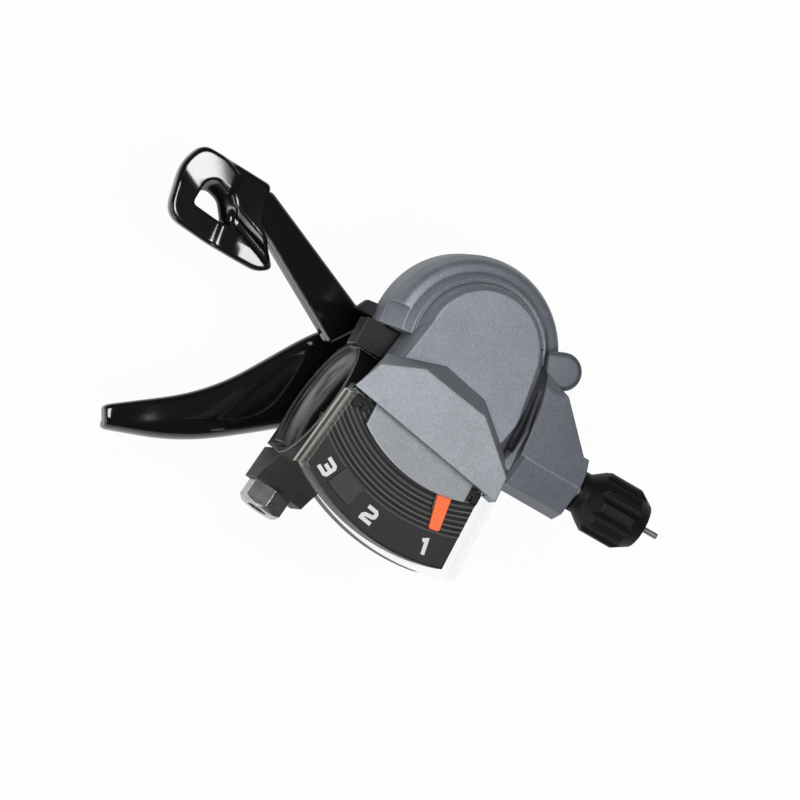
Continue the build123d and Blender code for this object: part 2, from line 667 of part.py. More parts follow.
# Inside of the cover
inner_left = COVER_LEFT + COVER_WALL
inner_right = COVER_RIGHT - COVER_WALL
cover -= post(DOME_X, DOME_Y, SKIRT_LOW, HOUSING_TOP, SKIRT_R - COVER_WALL)
cover -= post(BUMP_X, BUMP_Y, SKIRT_LOW, HOUSING_TOP, BUMP_R + FLANGE_CLEARANCE)
well = block(inner_left, inner_right, HOUSING_REAR + COVER_WALL, FAR, -FAR, FAR)
cover -= post(DOME_X, DOME_Y, HOUSING_TOP, COVER_FLOOR, VALLEY_R) & well
cover -= post(DOME_X, DOME_Y, COVER_FLOOR, CEILING, PLATEAU_R - COVER_WALL)
inner_rear = COVER_REAR + COVER_WALL
hall_inside = sharp(((inner_left + COVER_WALL, DOME_Y), (inner_left, HOUSING_REAR), (inner_left, inner_rear),
                     (inner_right, inner_rear), (inner_right, HOUSING_REAR),
                     (inner_right - COVER_WALL, DOME_Y)))
cover -= slab(hall_inside, DRUM_LOW - END_PLAY, CEILING)
cover -= block(inner_left + COVER_WALL, inner_right - COVER_WALL, COVER_REAR - OVERRUN, inner_rear,
               DRUM_TOP - END_PLAY, CEILING)
cover -= at_pivot(post(0, 0, CEILING, CEILING + SPIGOT_DEPTH, SPIGOT_R))
groove_rear = BOSS_FOOT_Y - OVERRUN


def groove_face(shift):
    """Outline of the groove beside the plateau, with its left side moved."""
    return rounded(((hall_front_right - GROOVE_WIDTH + shift, GROOVE_FRONT_Y, 0),
                    (hall_front_right + shift, DOME_Y, GROOVE_BEND),
                    (COVER_RIGHT + shift, HOUSING_REAR, GROOVE_BEND), (COVER_RIGHT + shift, groove_rear, 0),
                    (COVER_RIGHT + GROOVE_WIDTH, groove_rear, 0),
                    (COVER_RIGHT + GROOVE_WIDTH, HOUSING_REAR, GROOVE_BEND),
                    (hall_front_right + GROOVE_WIDTH, DOME_Y, GROOVE_BEND),
                    (hall_front_right, GROOVE_FRONT_Y, 0)))


groove_high = 2 * PLATEAU_Z - GROOVE_FLOOR
groove_foot = Pos(0, 0, GROOVE_FLOOR) * groove_face(GROOVE_LEAN)
groove_mouth = Pos(0, 0, groove_high) * groove_face(-GROOVE_LEAN)
cover -= loft([groove_foot, groove_mouth], ruled=True)
cover -= bar_x(CABLE_Y, CABLE_Z, inner_right - COVER_WALL, FAR, STEM_BORE_R)
cover -= bar_x(CABLE_Y, CABLE_Z, BOSS_FACE - STEM_GRIP - END_PLAY, FAR, STEM_R + RUNNING_FIT)
for x, y in cover_points:
    cover -= post(x, y, HOUSING_TOP, HOUSING_TOP + COVER_SCREW_DEPTH, SMALL_SCREW_D / 2)
    cover -= post(x, y, SKIRT_LOW, flange_low, head_pocket_r)
tab_points = (TAB_LEFT + TAB_SCREW_INSET, TAB_RIGHT - TAB_SCREW_INSET)
tab_low = COVER_FLOOR - TAB_THICK
tab_screw_high = COVER_FLOOR + TAB_SCREW_DEPTH
tab_screws = []
for x in tab_points:
    head = post(x, TAB_SCREW_Y, tab_low - TAB_SCREW_HEAD_H, tab_low, TAB_SCREW_HEAD_D / 2)
    tab_screws.append(head + post(x, TAB_SCREW_Y, tab_low, tab_screw_high, TAB_SCREW_D / 2))
    cover -= post(x, TAB_SCREW_Y, COVER_FLOOR, tab_screw_high, TAB_SCREW_D / 2)
save(cover, "top_cover")
save(tab_screws, "tray_screws")

# Hood: a faceted shell, open at the rear, and the mask under it
hood = loft([Pos(0, 0, PLATEAU_Z) * sharp(HOOD_FOOT), Pos(0, 0, HOOD_TOP_Z) * sharp(HOOD_TOP)], ruled=True)
hollow_foot = offset(sharp(HOOD_FOOT), -HOOD_WALL, kind=Kind.INTERSECTION)
hollow_top = offset(sharp(HOOD_TOP), -HOOD_WALL, kind=Kind.INTERSECTION)
hood -= loft([Pos(0, 0, PLATEAU_Z) * hollow_foot, Pos(0, 0, WINDOW_TOP) * hollow_top], ruled=True)
hood -= block(HOOD_MOUTH_LEFT, HOOD_MOUTH_RIGHT, HOOD_MOUTH_LOW_Y, HOOD_MOUTH_HIGH_Y, PLATEAU_Z, WINDOW_TOP)
save(hood, "display_hood")

mask_low = PLATEAU_Z + MASK_LIFT
mask_face = rounded(((MASK_LEFT, MASK_FRONT, MASK_CORNER), (MASK_RIGHT, MASK_FRONT, MASK_CORNER),
                     (MASK_RIGHT, -FAR, 0), (MASK_LEFT, -FAR, 0)))
mask_face &= at_pivot(Circle(MASK_R))
mask = slab(mask_face, PLATEAU_Z, mask_low + MASK_THICK)
mask -= block(-FAR, FAR, -FAR, COVER_REAR, PLATEAU_Z, mask_low)
save(mask, "display_mask")

# Display tray with a rear rim and two tabs under the cover
tray_face = display_face(0, TRAY_R)
tray = slab(tray_face, TRAY_LOW, TRAY_TOP)
tray -= slab(offset(tray_face, -TRAY_FLOOR, kind=Kind.INTERSECTION), TRAY_LOW + TRAY_FLOOR, TRAY_TOP)
tray -= block(-FAR, FAR, COVER_REAR - TRAY_FRONT_DEPTH, FAR, TRAY_FRONT_TOP, FAR)
tray += block(TAB_LEFT, TAB_RIGHT, COVER_REAR - TRAY_FLOOR, TAB_FRONT, tab_low, COVER_FLOOR)
tray += block(TAB_LEFT, TAB_RIGHT, COVER_REAR - TRAY_FLOOR, COVER_REAR, tab_low, TRAY_LOW)
for x in tab_points:
    tray -= post(x, TAB_SCREW_Y, tab_low, COVER_FLOOR, TAB_SCREW_D / 2 + SMALL_SCREW_CLEARANCE)
save(tray, "display_tray")

plate_face = display_face(-PLATE_INSET, TRAY_R - PLATE_INSET) - at_pivot(Circle(PLATE_INNER_R))
plate = slab(plate_face, TRAY_TOP, PLATE_TOP)
for ridge in range(RIDGE_COUNT):
    outer = BAND_R - ridge * RIDGE_PITCH
    ring = at_pivot(Circle(outer)) - at_pivot(Circle(outer - RIDGE_WIDTH))
    plate += slab(ring & plate_face, PLATE_TOP, PLATE_TOP + RIDGE_HEIGHT)
stop_from = NEEDLE_DIRECTION - NEEDLE_ANGLE + STOP_BLOCK_ANGLE - STOP_BLOCK_SPAN / 2
stop_face = sector(STOP_BLOCK_R, stop_from, stop_from + STOP_BLOCK_SPAN) - at_pivot(Circle(BAND_R))
plate += slab(stop_face & plate_face, PLATE_TOP, PLATE_TOP + STOP_BLOCK_HEIGHT)
for x, y in ((CLIP_LEFT_X, CLIP_LEFT_Y), (CLIP_RIGHT_X, CLIP_RIGHT_Y)):
    clip = Rectangle(CLIP_WIDTH, CLIP_DEPTH) - Pos(0, -CLIP_DEPTH / 2) * Rectangle(CLIP_NOTCH, CLIP_DEPTH)
    plate += slab((Pos(x, y) * clip) & plate_face, PLATE_TOP, PLATE_TOP + CLIP_HEIGHT)
save(plate, "number_plate")

# Clear window: a lid with a skirt round the display
window_side = WINDOW_SIDE_GAP + WINDOW_WALL
hood_left = HOOD_TOP[5]
hood_right = HOOD_TOP[4]
behind_hood = sharp((hood_left, hood_right, (FAR, hood_right[1]), (FAR, -FAR), (-FAR, -FAR),
                     (-FAR, hood_left[1])))
lid_face = display_face(window_side, TRAY_R + WINDOW_GAP + WINDOW_WALL)
lid_face &= Pos(0, -FLANGE_CLEARANCE) * behind_hood
lap = sharp(((LAP_LEFT, LAP_FRONT_LEFT), (LAP_RIGHT, LAP_FRONT_RIGHT), (LAP_RIGHT, LAP_REAR),
             (LAP_LEFT, LAP_REAR)))
window = slab(lid_face, WINDOW_LOW, WINDOW_TOP)
window -= slab(display_face(WINDOW_SIDE_GAP, TRAY_R + WINDOW_GAP), WINDOW_LOW, WINDOW_TOP - WINDOW_WALL)
window += slab(lap, WINDOW_TOP - WINDOW_WALL, WINDOW_TOP)
save(window, "display_window")

# Main axle with its cap, washer and nut
washer_low = DRUM_LOW - END_PLAY - WASHER_H
pocket_floor = washer_low - END_PLAY
axle_top = washer_low + WASHER_H + NUT_H
cap_top = MAIN_LOW - END_PLAY
axle = at_pivot(post(0, 0, cap_top, axle_top, SHAFT_R))
axle += at_pivot(post(0, 0, axle_top, CEILING + SPIGOT_DEPTH, SPIGOT_R))
cap = at_pivot(post(0, 0, cap_top - CAP_H, cap_top, CAP_R))
axle += chamfer(cap.edges().sort_by(Axis.Z)[0], CAP_EDGE)
save(axle, "main_axle")
save(at_pivot(slab(Circle(WASHER_R) - Circle(SHAFT_R), washer_low, washer_low + WASHER_H)), "axle_washer")
save(at_pivot(slab(hexagon(NUT_AF) - Circle(SHAFT_R), washer_low + WASHER_H, axle_top)), "axle_nut")

# Cable drum: a long hub with a grooved sector at its top
drum_face = sector(DRUM_R, DRUM_FROM, DRUM_TO) + at_pivot(Circle(COLLAR_R))
drum = slab(drum_face, DRUM_LOW, DRUM_TOP)
drum += at_pivot(post(0, 0, pocket_floor - COVER_WALL, DRUM_TOP, COLLAR_R))
drum += at_pivot(post(0, 0, HUB_LOW, DRUM_TOP, HUB_R))
groove_ring = Circle(DRUM_R + OVERRUN) - Circle(DRUM_GROOVE_R - CABLE_GROOVE / 2)
drum -= at_pivot(slab(groove_ring, CABLE_Z - CABLE_GROOVE / 2, CABLE_Z + CABLE_GROOVE / 2))
drum -= at_pivot(post(0, 0, pocket_floor, DRUM_TOP, NUT_POCKET_R))
drum -= at_pivot(post(0, 0, HUB_LOW, DRUM_TOP, SHAFT_BORE))
nipple_x, nipple_y = polar(DRUM_GROOVE_R, NIPPLE_ANGLE)
drum -= post(nipple_x, nipple_y, DRUM_LOW, DRUM_TOP, NIPPLE_D / 2)
save(drum, "cable_drum")

wrap = Circle(DRUM_GROOVE_R + CABLE_D / 2) - Circle(DRUM_GROOVE_R - CABLE_D / 2)
wrap = at_pivot(wrap) & sector(DRUM_R, NIPPLE_ANGLE, WRAP_END_ANGLE)
cable_end = slab(wrap, CABLE_Z - CABLE_D / 2, CABLE_Z + CABLE_D / 2)
cable_end += post(nipple_x, nipple_y, DRUM_LOW, DRUM_TOP, NIPPLE_D / 2)
save(cable_end, "cable_end")
save(bar_x(CABLE_Y, CABLE_Z, PIVOT_X + CABLE_START, CABLE_END_X, CABLE_D / 2), "inner_cable")

# Indicator arm and needle, drawn along +X and turned to the first gear
half_arm = ARM_WIDTH / 2
half_width = NEEDLE_WIDTH / 2
needle_low = ARM_BLADE_Z + ARM_THICK
riser_from = ARM_RISER_R - ARM_RISER_W
arm_face = Pos((HUB_R + ARM_RISER_R) / 2, 0) * Rectangle(ARM_RISER_R - HUB_R, ARM_WIDTH) + Circle(COLLAR_R)
arm = slab(arm_face - Circle(NUT_POCKET_R), DRUM_TOP, DRUM_TOP + ARM_THICK)
arm += block(riser_from, ARM_RISER_R, -half_arm, half_arm, DRUM_TOP, needle_low)
arm += block(riser_from, ARM_BLADE_R, -half_width, half_width, ARM_BLADE_Z, needle_low)
save(at_pivot(Rot(0, 0, NEEDLE_DIRECTION) * arm), "indicator_arm")
tip_width = half_width - NEEDLE_TAPER
needle = rounded(((NEEDLE_FROM, -half_width, 0), (NEEDLE_FROM, half_width, 0),
                  (NEEDLE_TIP_R, tip_width, NEEDLE_TAPER), (NEEDLE_TIP_R, -tip_width, NEEDLE_TAPER)))
needle = slab(needle, needle_low, needle_low + NEEDLE_THICK)
save(at_pivot(Rot(0, 0, NEEDLE_DIRECTION) * needle), "indicator_needle")

# Ratchet wheel on the foot of the drum
teeth = Circle(RATCHET_R)
root_r = RATCHET_R - TOOTH_ROOT
for tooth in range(TOOTH_COUNT):
    crest = TOOTH_FIRST + tooth * GEAR_STEP
    corners = ((root_r, crest - GEAR_STEP + TOOTH_RAKE), (TOOTH_R, crest), (root_r, crest + TOOTH_LEAN))
    teeth += sharp([around(radius, angle) for radius, angle in corners])
save(at_pivot(slab(teeth - Circle(HUB_R), RATCHET_LOW, RATCHET_HIGH)), "ratchet_wheel")


def pawl(angle, low):
    """A pawl: hub round its pin and a finger that points to the teeth."""
    px, py = polar(PAWL_ORBIT, angle)
    tx, ty = polar(TOOTH_R + PAWL_REACH + PAWL_TIP_R, angle + PAWL_SWEEP)
    hub = Pos(px, py) * Circle(PAWL_HUB_R)
    tip = Pos(tx, ty) * Circle(PAWL_TIP_R)
    finger = make_hull((hub + tip).edges())
    body = slab(finger - Pos(px, py) * Circle(PAWL_PIN_D / 2 + RUNNING_FIT), low, low + PAWL_THICK)
    return body, px, py


carrier_high = CARRIER_LOW + CARRIER_THICK
feed_low = carrier_high + RUNNING_FIT
hold_low = RATCHET_HIGH - PAWL_THICK
feed_pin_angle = FEED_ANGLE - PAWL_SWEEP
feed_pawl, feed_x, feed_y = pawl(feed_pin_angle, feed_low)
hold_pawl, hold_x, hold_y = pawl(HOLD_ANGLE, hold_low)
save(feed_pawl, "feed_pawl")
save(hold_pawl, "retaining_pawl")
feed_pin = post(feed_x, feed_y, CARRIER_LOW, feed_low + PAWL_THICK, PAWL_PIN_D / 2)
save(feed_pin, "feed_pawl_pin")
hold_pin = post(hold_x, hold_y, BASE_LOW, RATCHET_HIGH, PAWL_PIN_D / 2)
hold_pin += post(hold_x, hold_y, HOUSING_LOW, hold_low - RUNNING_FIT, PAWL_HUB_R)
save(hold_pin, "retaining_pawl_pin")

# Sleeve and pawl carrier that turn with the main lever
save(at_pivot(slab(Circle(SLEEVE_R) - Circle(SHAFT_BORE), MAIN_LOW, carrier_high)), "lever_sleeve")
reach = Pos(PAWL_ORBIT / 2, 0) * Rectangle(PAWL_ORBIT, 2 * PAWL_HUB_R)
reach += Pos(PAWL_ORBIT, 0) * Circle(PAWL_HUB_R)
carrier = Rot(0, 0, feed_pin_angle) * reach + Circle(CARRIER_R) - Circle(SLEEVE_R)
carrier = at_pivot(slab(carrier, CARRIER_LOW, carrier_high)) - feed_pin
save(carrier, "pawl_carrier")

# Springs: two flat spirals and a wire ring, each with a leg to what holds it
drum_spring_r = HUB_R + RUNNING_FIT
drum_spring, tail = spiral_strip(drum_spring_r, DRUM_SPRING_TURNS, DRUM_SPRING_LOW, DRUM_SPRING_HIGH)
wall_reach = HOUSING_R - HOUSING_WALL
drum_spring += at_pivot(block(tail, wall_reach, -SPRING_STRIP, 0, DRUM_SPRING_LOW, DRUM_SPRING_HIGH)
                        & post(0, 0, DRUM_SPRING_LOW, DRUM_SPRING_HIGH, wall_reach))
save(drum_spring, "drum_spring")
lever_spring_r = SLEEVE_R + RUNNING_FIT
lever_spring, tail = spiral_strip(lever_spring_r, LEVER_SPRING_TURNS, LEVER_SPRING_LOW, LEVER_SPRING_HIGH)
save(lever_spring, "lever_spring")
post_from = tail + SPRING_STRIP
release_z = BASE_LOW - RELEASE_WIRE_D / 2
release_wire = Pos(0, 0, release_z) * Torus(RELEASE_COIL_R, RELEASE_WIRE_D / 2)
release_wire += bar_x(0, release_z, RELEASE_COIL_R, post_from, RELEASE_WIRE_D / 2)
spring_post = post(post_from + SPRING_POST_R, 0, LEVER_SPRING_LOW, BASE_LOW, SPRING_POST_R)
save(at_pivot(release_wire - spring_post), "release_spring")

# Base plate with the spring post
base = slab(housing_face(HOUSING_R, HOUSING_REAR), BASE_LOW, HOUSING_LOW)
base -= at_pivot(post(0, 0, BASE_LOW, HOUSING_LOW, SLEEVE_R + RUNNING_FIT))
base -= hold_pin
base_screws = []
for x, y in base_points:
    base -= post(x, y, BASE_LOW, HOUSING_LOW, SMALL_SCREW_D / 2 + SMALL_SCREW_CLEARANCE)
    head = post(x, y, BASE_LOW - SMALL_SCREW_HEAD_H, BASE_LOW, SMALL_SCREW_HEAD_D / 2)
    base_screws.append(head + post(x, y, BASE_LOW, HOUSING_LOW + BASE_SCREW_DEPTH, SMALL_SCREW_D / 2))
base += at_pivot(spring_post)
save(base, "base_plate")
save(base_screws, "base_screws")

# Release lever: a flat steel arm and a moulded, dished pad with a finger hole
release_low = RELEASE_TOP - RELEASE_THICK
arm_face = rounded(RELEASE_ARM) + Circle(RELEASE_HUB_R)
release_arm = slab(arm_face, release_low, RELEASE_TOP)
release_arm = chamfer(release_arm.edges().group_by(Axis.Z)[-1], ARM_EDGE)
release_arm = at_pivot(release_arm - post(0, 0, release_low, RELEASE_TOP, SLEEVE_R + RUNNING_FIT))
pad = at_pivot(slab(rounded(PAD_OUTLINE), PAD_LOW, PAD_HIGH))
pad = chamfer(pad.edges().group_by(Axis.Z)[-1], PAD_EDGE)
pad = chamfer(pad.edges().group_by(Axis.Z)[0], PAD_FOOT_EDGE)
dish = offset(rounded(PAD_OUTLINE), -PAD_RIM, kind=Kind.INTERSECTION)
pad -= at_pivot(slab(dish, PAD_HIGH - PAD_DISH_DEPTH, PAD_HIGH))
pad -= at_pivot(slab(rounded(PAD_HOLE), PAD_LOW, PAD_HIGH))
pad -= release_arm
save(release_arm, "release_arm")
save(pad, "release_pad")

# Main lever: a curved paddle with a lip along its rear edge
paddle_face = rounded(MAIN_OUTLINE)
paddle = slab(paddle_face + Circle(MAIN_HUB_R), MAIN_LOW, MAIN_TOP)
paddle = chamfer(paddle.edges().group_by(Axis.Z)[-1], MAIN_EDGE)
crescent = paddle_face - Pos(LIP_SHIFT_X, LIP_SHIFT_Y) * paddle_face
crescent &= Pos(LIP_RIGHT - FAR / 2, 0) * Rectangle(FAR, 2 * FAR)
paddle += slab(crescent, MAIN_LOW - LIP_DROP, MAIN_LOW)
main_lever = at_pivot(paddle - post(0, 0, MAIN_LOW, MAIN_TOP, SLEEVE_R))
save(main_lever, "main_lever")

# Barrel adjuster: a fluted knob on a hollow stem
knob_start = BOSS_FACE + KNOB_GAP
neck_end = knob_start + KNOB_NECK_L
cone_end = neck_end + KNOB_CONE_L
barrel_end = cone_end + KNOB_BARREL_L
knob_end = barrel_end + KNOB_END_L
knob_profile = Polyline((knob_start, 0), (knob_start, KNOB_NECK_R), (neck_end, KNOB_NECK_R),
                        (cone_end, KNOB_R), (barrel_end, KNOB_R), (knob_end, KNOB_END_R), (knob_end, 0),
                        close=True)
knob = revolve(make_face(knob_profile), Axis.X)
flute = bar_x(KNOB_R + FLUTE_R - FLUTE_DEPTH, 0, neck_end, knob_end + OVERRUN, FLUTE_R)
for step in range(KNOB_FLUTES):
    knob -= Rot(360 * step / KNOB_FLUTES, 0, 0) * flute
seat_start = knob_end - CASING_SEAT_DEPTH
knob -= bar_x(0, 0, seat_start, knob_end, CASING_SEAT_R)
knob -= bar_x(0, 0, knob_start, seat_start, STEM_R)
save(Pos(0, CABLE_Y, CABLE_Z) * knob, "adjuster_knob")
stem = bar_x(CABLE_Y, CABLE_Z, BOSS_FACE - STEM_GRIP, seat_start, STEM_R)
stem -= bar_x(CABLE_Y, CABLE_Z, BOSS_FACE - STEM_GRIP, seat_start, STEM_BORE_R)
save(stem, "adjuster_stem")

print(len(written), "nodes")
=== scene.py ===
# %% [markdown]
# A trigger gear shifter sits on the handlebar: a clamp ring, a grey dome, a small gear
# display, two black levers and a cable adjuster. The solids come in as a fixed frame in
# metres, so this lesson never moves them. It gives them their finishes, adds the pieces
# that are easier to shape as meshes, and lights them like a catalogue picture.

# %% Load the frame
import math

import bmesh
import bpy
from mathutils import Matrix, Vector


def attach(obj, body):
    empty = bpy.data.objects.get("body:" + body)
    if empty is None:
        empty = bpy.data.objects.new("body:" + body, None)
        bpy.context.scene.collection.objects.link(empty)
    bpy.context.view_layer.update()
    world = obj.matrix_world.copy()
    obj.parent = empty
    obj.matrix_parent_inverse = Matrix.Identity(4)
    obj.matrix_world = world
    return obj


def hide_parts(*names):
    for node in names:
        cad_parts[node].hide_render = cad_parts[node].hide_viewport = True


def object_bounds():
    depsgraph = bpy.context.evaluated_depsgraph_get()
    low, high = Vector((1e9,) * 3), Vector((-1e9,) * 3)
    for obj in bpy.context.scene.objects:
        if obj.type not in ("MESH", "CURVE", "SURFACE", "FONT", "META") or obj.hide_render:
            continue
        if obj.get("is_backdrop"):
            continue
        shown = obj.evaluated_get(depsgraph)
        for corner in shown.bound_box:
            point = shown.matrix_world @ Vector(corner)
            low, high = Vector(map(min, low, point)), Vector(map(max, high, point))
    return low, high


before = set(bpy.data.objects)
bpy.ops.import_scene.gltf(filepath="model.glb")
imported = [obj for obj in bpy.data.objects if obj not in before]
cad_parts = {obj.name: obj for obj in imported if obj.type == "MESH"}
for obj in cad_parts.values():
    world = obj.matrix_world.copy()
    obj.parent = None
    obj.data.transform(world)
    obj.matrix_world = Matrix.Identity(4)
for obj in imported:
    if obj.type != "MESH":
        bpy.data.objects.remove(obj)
cad_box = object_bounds()

# %% [markdown]
# The body of the shifter is drawn square to its cable and then turned a few degrees
# against the bar. Every point below is written in the body's own square millimetres,
# because those are easy to read off a drawing, and one helper turns it into the frame.

# %% Body millimetres to frame metres
MM = 0.001
BODY_TURN = math.radians(6.8)
BODY = Matrix.Rotation(BODY_TURN, 3, "Z")
PIVOT = Vector((13.2, 20.4, 0.0))


def spot(x, y, z):
    """A point of the body, in millimetres, as a frame point in metres."""
    return BODY @ Vector((x, y, z)) * MM


def from_pivot(x, y, z):
    """The same, measured from the lever pivot."""
    return spot(PIVOT.x + x, PIVOT.y + y, z)


print("lever pivot at", [round(v, 4) for v in from_pivot(0, 0, 0)])

# %% [markdown]
# The picture is taken from above with a long lens: the camera leans towards the levers
# and the picture is turned so that the cable runs down to the right. A long lens far away
# keeps the sides of the body nearly parallel, as in the picture, so the focal length
# follows from the distance and the width of the view.

# %% Camera
SIGHT = Vector((0.284, 0.14, -1.0)).normalized()
ROLL = math.radians(30.0)
REACH = 1200.0
PICTURE_PIXELS = 800
PIXELS_PER_MM = 5.35
VIEW_WIDTH = PICTURE_PIXELS / PIXELS_PER_MM
SENSOR = 36.0
AIM = Vector((11.5, 15.2, 26.0))
AIM_OFFSET = (14.39, -3.74)

level = (Vector((1, 0, 0)) - SIGHT * SIGHT.x).normalized()
across = level.cross(SIGHT)
right = level * math.cos(ROLL) + across * math.sin(ROLL)
up = across * math.cos(ROLL) - level * math.sin(ROLL)
stand = AIM - SIGHT * REACH - right * AIM_OFFSET[0] + up * AIM_OFFSET[1]
axes = BODY @ Matrix((right, up, -SIGHT)).transposed()

camera_data = bpy.data.cameras.new("camera")
camera_data.sensor_width = SENSOR
camera_data.lens = SENSOR * REACH / VIEW_WIDTH
camera = bpy.data.objects.new("camera", camera_data)
camera.matrix_world = Matrix.Translation(spot(*stand)) @ axes.to_4x4()
bpy.context.collection.objects.link(camera)
bpy.context.scene.camera = camera
print("lens", round(camera_data.lens, 1), "mm")

# %% [markdown]
# Shader maths reads best as plain arithmetic. Wire holds one output of a node, and adding
# or multiplying two wires adds the Math node for it. Colours are mixed with Mix nodes, since
# a Math node would turn them grey. Every other node comes from the same method, add.

# %% One class for shader arithmetic
class Wire:
    """One output socket of a node tree."""

    def __init__(self, tree, socket=None):
        self.tree = tree
        self.socket = socket

    def add(self, kind, settings=None, sockets=None, out=0):
        """Add a node: its settings first, then the values or links of its sockets."""
        node = self.tree.nodes.new(kind)
        for name, value in (settings or {}).items():
            setattr(node, name, value)
        for name, value in (sockets or {}).items():
            if isinstance(value, Wire):
                self.tree.links.new(value.socket, node.inputs[name])
            else:
                node.inputs[name].default_value = value
        return Wire(self.tree, node.outputs[out] if node.outputs else None)

    def math(self, operation, *values):
        return self.add("ShaderNodeMath", {"operation": operation}, dict(enumerate(values)))

    def __add__(self, other):
        return self.math("ADD", self, other)

    def __radd__(self, other):
        return self.math("ADD", other, self)

    def __sub__(self, other):
        return self.math("SUBTRACT", self, other)

    def __rsub__(self, other):
        return self.math("SUBTRACT", other, self)

    def __mul__(self, other):
        return self.math("MULTIPLY", self, other)

    def __rmul__(self, other):
        return self.math("MULTIPLY", other, self)

    def __pow__(self, other):
        return self.math("POWER", self, other)

    def clamp(self):
        return self.add("ShaderNodeClamp", None, {"Value": self})

    def step(self, low, high):
        """A smooth 0 to 1 between two values."""
        settings = {"interpolation_type": "SMOOTHSTEP"}
        sockets = {"Value": self, "From Min": low, "From Max": high}
        return self.add("ShaderNodeMapRange", settings, sockets)

    def mix(self, first, second):
        """The colour first where this is 0 and second where it is 1."""
        settings = {"data_type": "RGBA"}
        return self.add("ShaderNodeMix", settings, {0: self, 6: first, 7: second}, out=2)


print("wire ready")

# %% [markdown]
# Every finish starts in the same way: the surface's own coordinates in metres, a soft edge
# and a mask of the edges. Moulded and stamped pieces never have knife edges. The Bevel node
# rounds the shading over a fraction of a millimetre without touching the mesh, and where its
# normal leaves the true one there is an edge. The dome also has grooves that get little
# light, so an occlusion mask can be asked for: the dome's lacquer paints shade with it, and
# then only the open edges are lightened.

# %% Start of a finish
class Finish:
    """A material under construction."""

    SAMPLES = 6
    EDGE_TURN = (0.01, 0.25)
    OPEN_SKY = (0.35, 0.85)

    def __init__(self, name, edge, hollow=0.0):
        self.material = bpy.data.materials.new(name)
        self.material.use_nodes = True
        tree = self.material.node_tree
        tree.nodes.clear()
        self.wire = Wire(tree)
        self.place = self.wire.add("ShaderNodeTexCoord", out="Object")
        settings = {"samples": self.SAMPLES}
        self.soft = self.wire.add("ShaderNodeBevel", settings, {"Radius": edge * MM})
        self.true = self.wire.add("ShaderNodeNewGeometry", out="Normal")
        agree = self.wire.add("ShaderNodeVectorMath", {"operation": "DOT_PRODUCT"},
                              {0: self.soft, 1: self.true}, out="Value")
        self.edges = (1 - agree).step(*self.EDGE_TURN)
        if hollow:
            sky = self.wire.add("ShaderNodeAmbientOcclusion", settings,
                                {"Distance": hollow * MM}, out="AO")
            self.recess = 1 - sky.step(*self.OPEN_SKY)
            self.edges = self.edges * (1 - self.recess)

    def noise(self, size, detail=2.0, stretch=None):
        """Noise with grains of a size in millimetres, from 0 to 1."""
        place = self.place
        if stretch:
            place = self.wire.add("ShaderNodeMapping", None, {"Vector": place, "Scale": stretch})
        sockets = {"Vector": place, "Scale": 1 / (size * MM), "Detail": detail}
        return self.wire.add("ShaderNodeTexNoise", None, sockets)

    def cells(self, size):
        """Random greys in cells of a size in millimetres."""
        sockets = {"Vector": self.place, "Scale": 1 / (size * MM)}
        colour = self.wire.add("ShaderNodeTexVoronoi", None, sockets, out="Color")
        return self.wire.add("ShaderNodeSeparateColor", None, {"Color": colour})

    def axis(self, letter):
        """One coordinate of the place, in metres."""
        return self.wire.add("ShaderNodeSeparateXYZ", None, {"Vector": self.place}, out=letter)

    def reach(self, x, y):
        """The distance from an upright line through a point of the body, in metres."""
        centre = spot(x, y, 0)
        along = self.axis("X") - centre.x
        across = self.axis("Y") - centre.y
        return (along * along + across * across) ** 0.5

    def bump(self, height, depth, strength):
        """The soft normal with a height map of a depth in millimetres."""
        return self.wire.add("ShaderNodeBump", None, {
            "Height": height, "Distance": depth * MM, "Strength": strength, "Normal": self.soft})

    def shader(self, sockets):
        return self.wire.add("ShaderNodeBsdfPrincipled", None, sockets)

    def done(self, shader):
        self.wire.add("ShaderNodeOutputMaterial", None, {"Surface": shader})
        return self.material


def tint(colour, share=1.0):
    """A colour made lighter or darker, with its alpha."""
    return (*[c * share for c in colour], 1)


def grey(value):
    return (value, value, value, 1)


def dress(material, *names):
    """Give a finish to nodes of the frame."""
    for name in names:
        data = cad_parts[name].data
        data.materials.clear()
        data.materials.append(material)
    print(material.name, "on", ", ".join(names))


# %% [markdown]
# The dome, the tongue and the hood are moulded plastic under a satin metallic lacquer. Its
# aluminium flakes lie flat in the film, so each one is a tiny tilted mirror: cells with a
# random brightness and a slight random height give that sparkle. The edges are smoother and
# painted a little lighter, partly as wear from handling and partly as a painted highlight.
# On the dome, painted shade darkens the recesses, the side towards the cable and the bump out
# to its foot, and the crescent groove beside the flat top, between two circles, is painted dark.

# %% Satin metallic lacquer
SHADED_SIDE = (21 * MM, 36 * MM)
BUMP = (28.4, 26.2)
BUMP_FOOT = (3.9 * MM, 5.2 * MM)
GROOVE_OUTSIDE = (-3.68, 14.90)
GROOVE_OUTSIDE_R = (30.8 * MM, 31.2 * MM)
GROOVE_INSIDE = (-15.65, 18.77)
GROOVE_INSIDE_R = (39.9 * MM, 40.2 * MM)
GROOVE_SHADE_PAINT = (0.030, 0.029, 0.034, 1)


def painted_shade(f, film, colour):
    """Painted shade: recesses, the cable side, the bump and the groove; gives film and groove
    mask.
    """
    # Painted shade: the recesses, found by occlusion, get a much darker film.
    film = (f.recess * 0.75).mix(film, tint(colour, 0.16))
    # Painted shade: darker towards the cable side and on the bump.
    shaded_side = f.axis("X").step(*SHADED_SIDE) * 0.4
    foot = (1 - f.reach(*BUMP).step(*BUMP_FOOT)) * 0.6
    film = (shaded_side + foot).clamp().mix(film, tint(colour, 0.45))
    # Painted shade: the crescent groove between two circles is painted nearly black.
    within = 1 - f.reach(*GROOVE_OUTSIDE).step(*GROOVE_OUTSIDE_R)
    groove_shade = within * f.reach(*GROOVE_INSIDE).step(*GROOVE_INSIDE_R)
    return (groove_shade * 0.9).mix(film, GROOVE_SHADE_PAINT), groove_shade


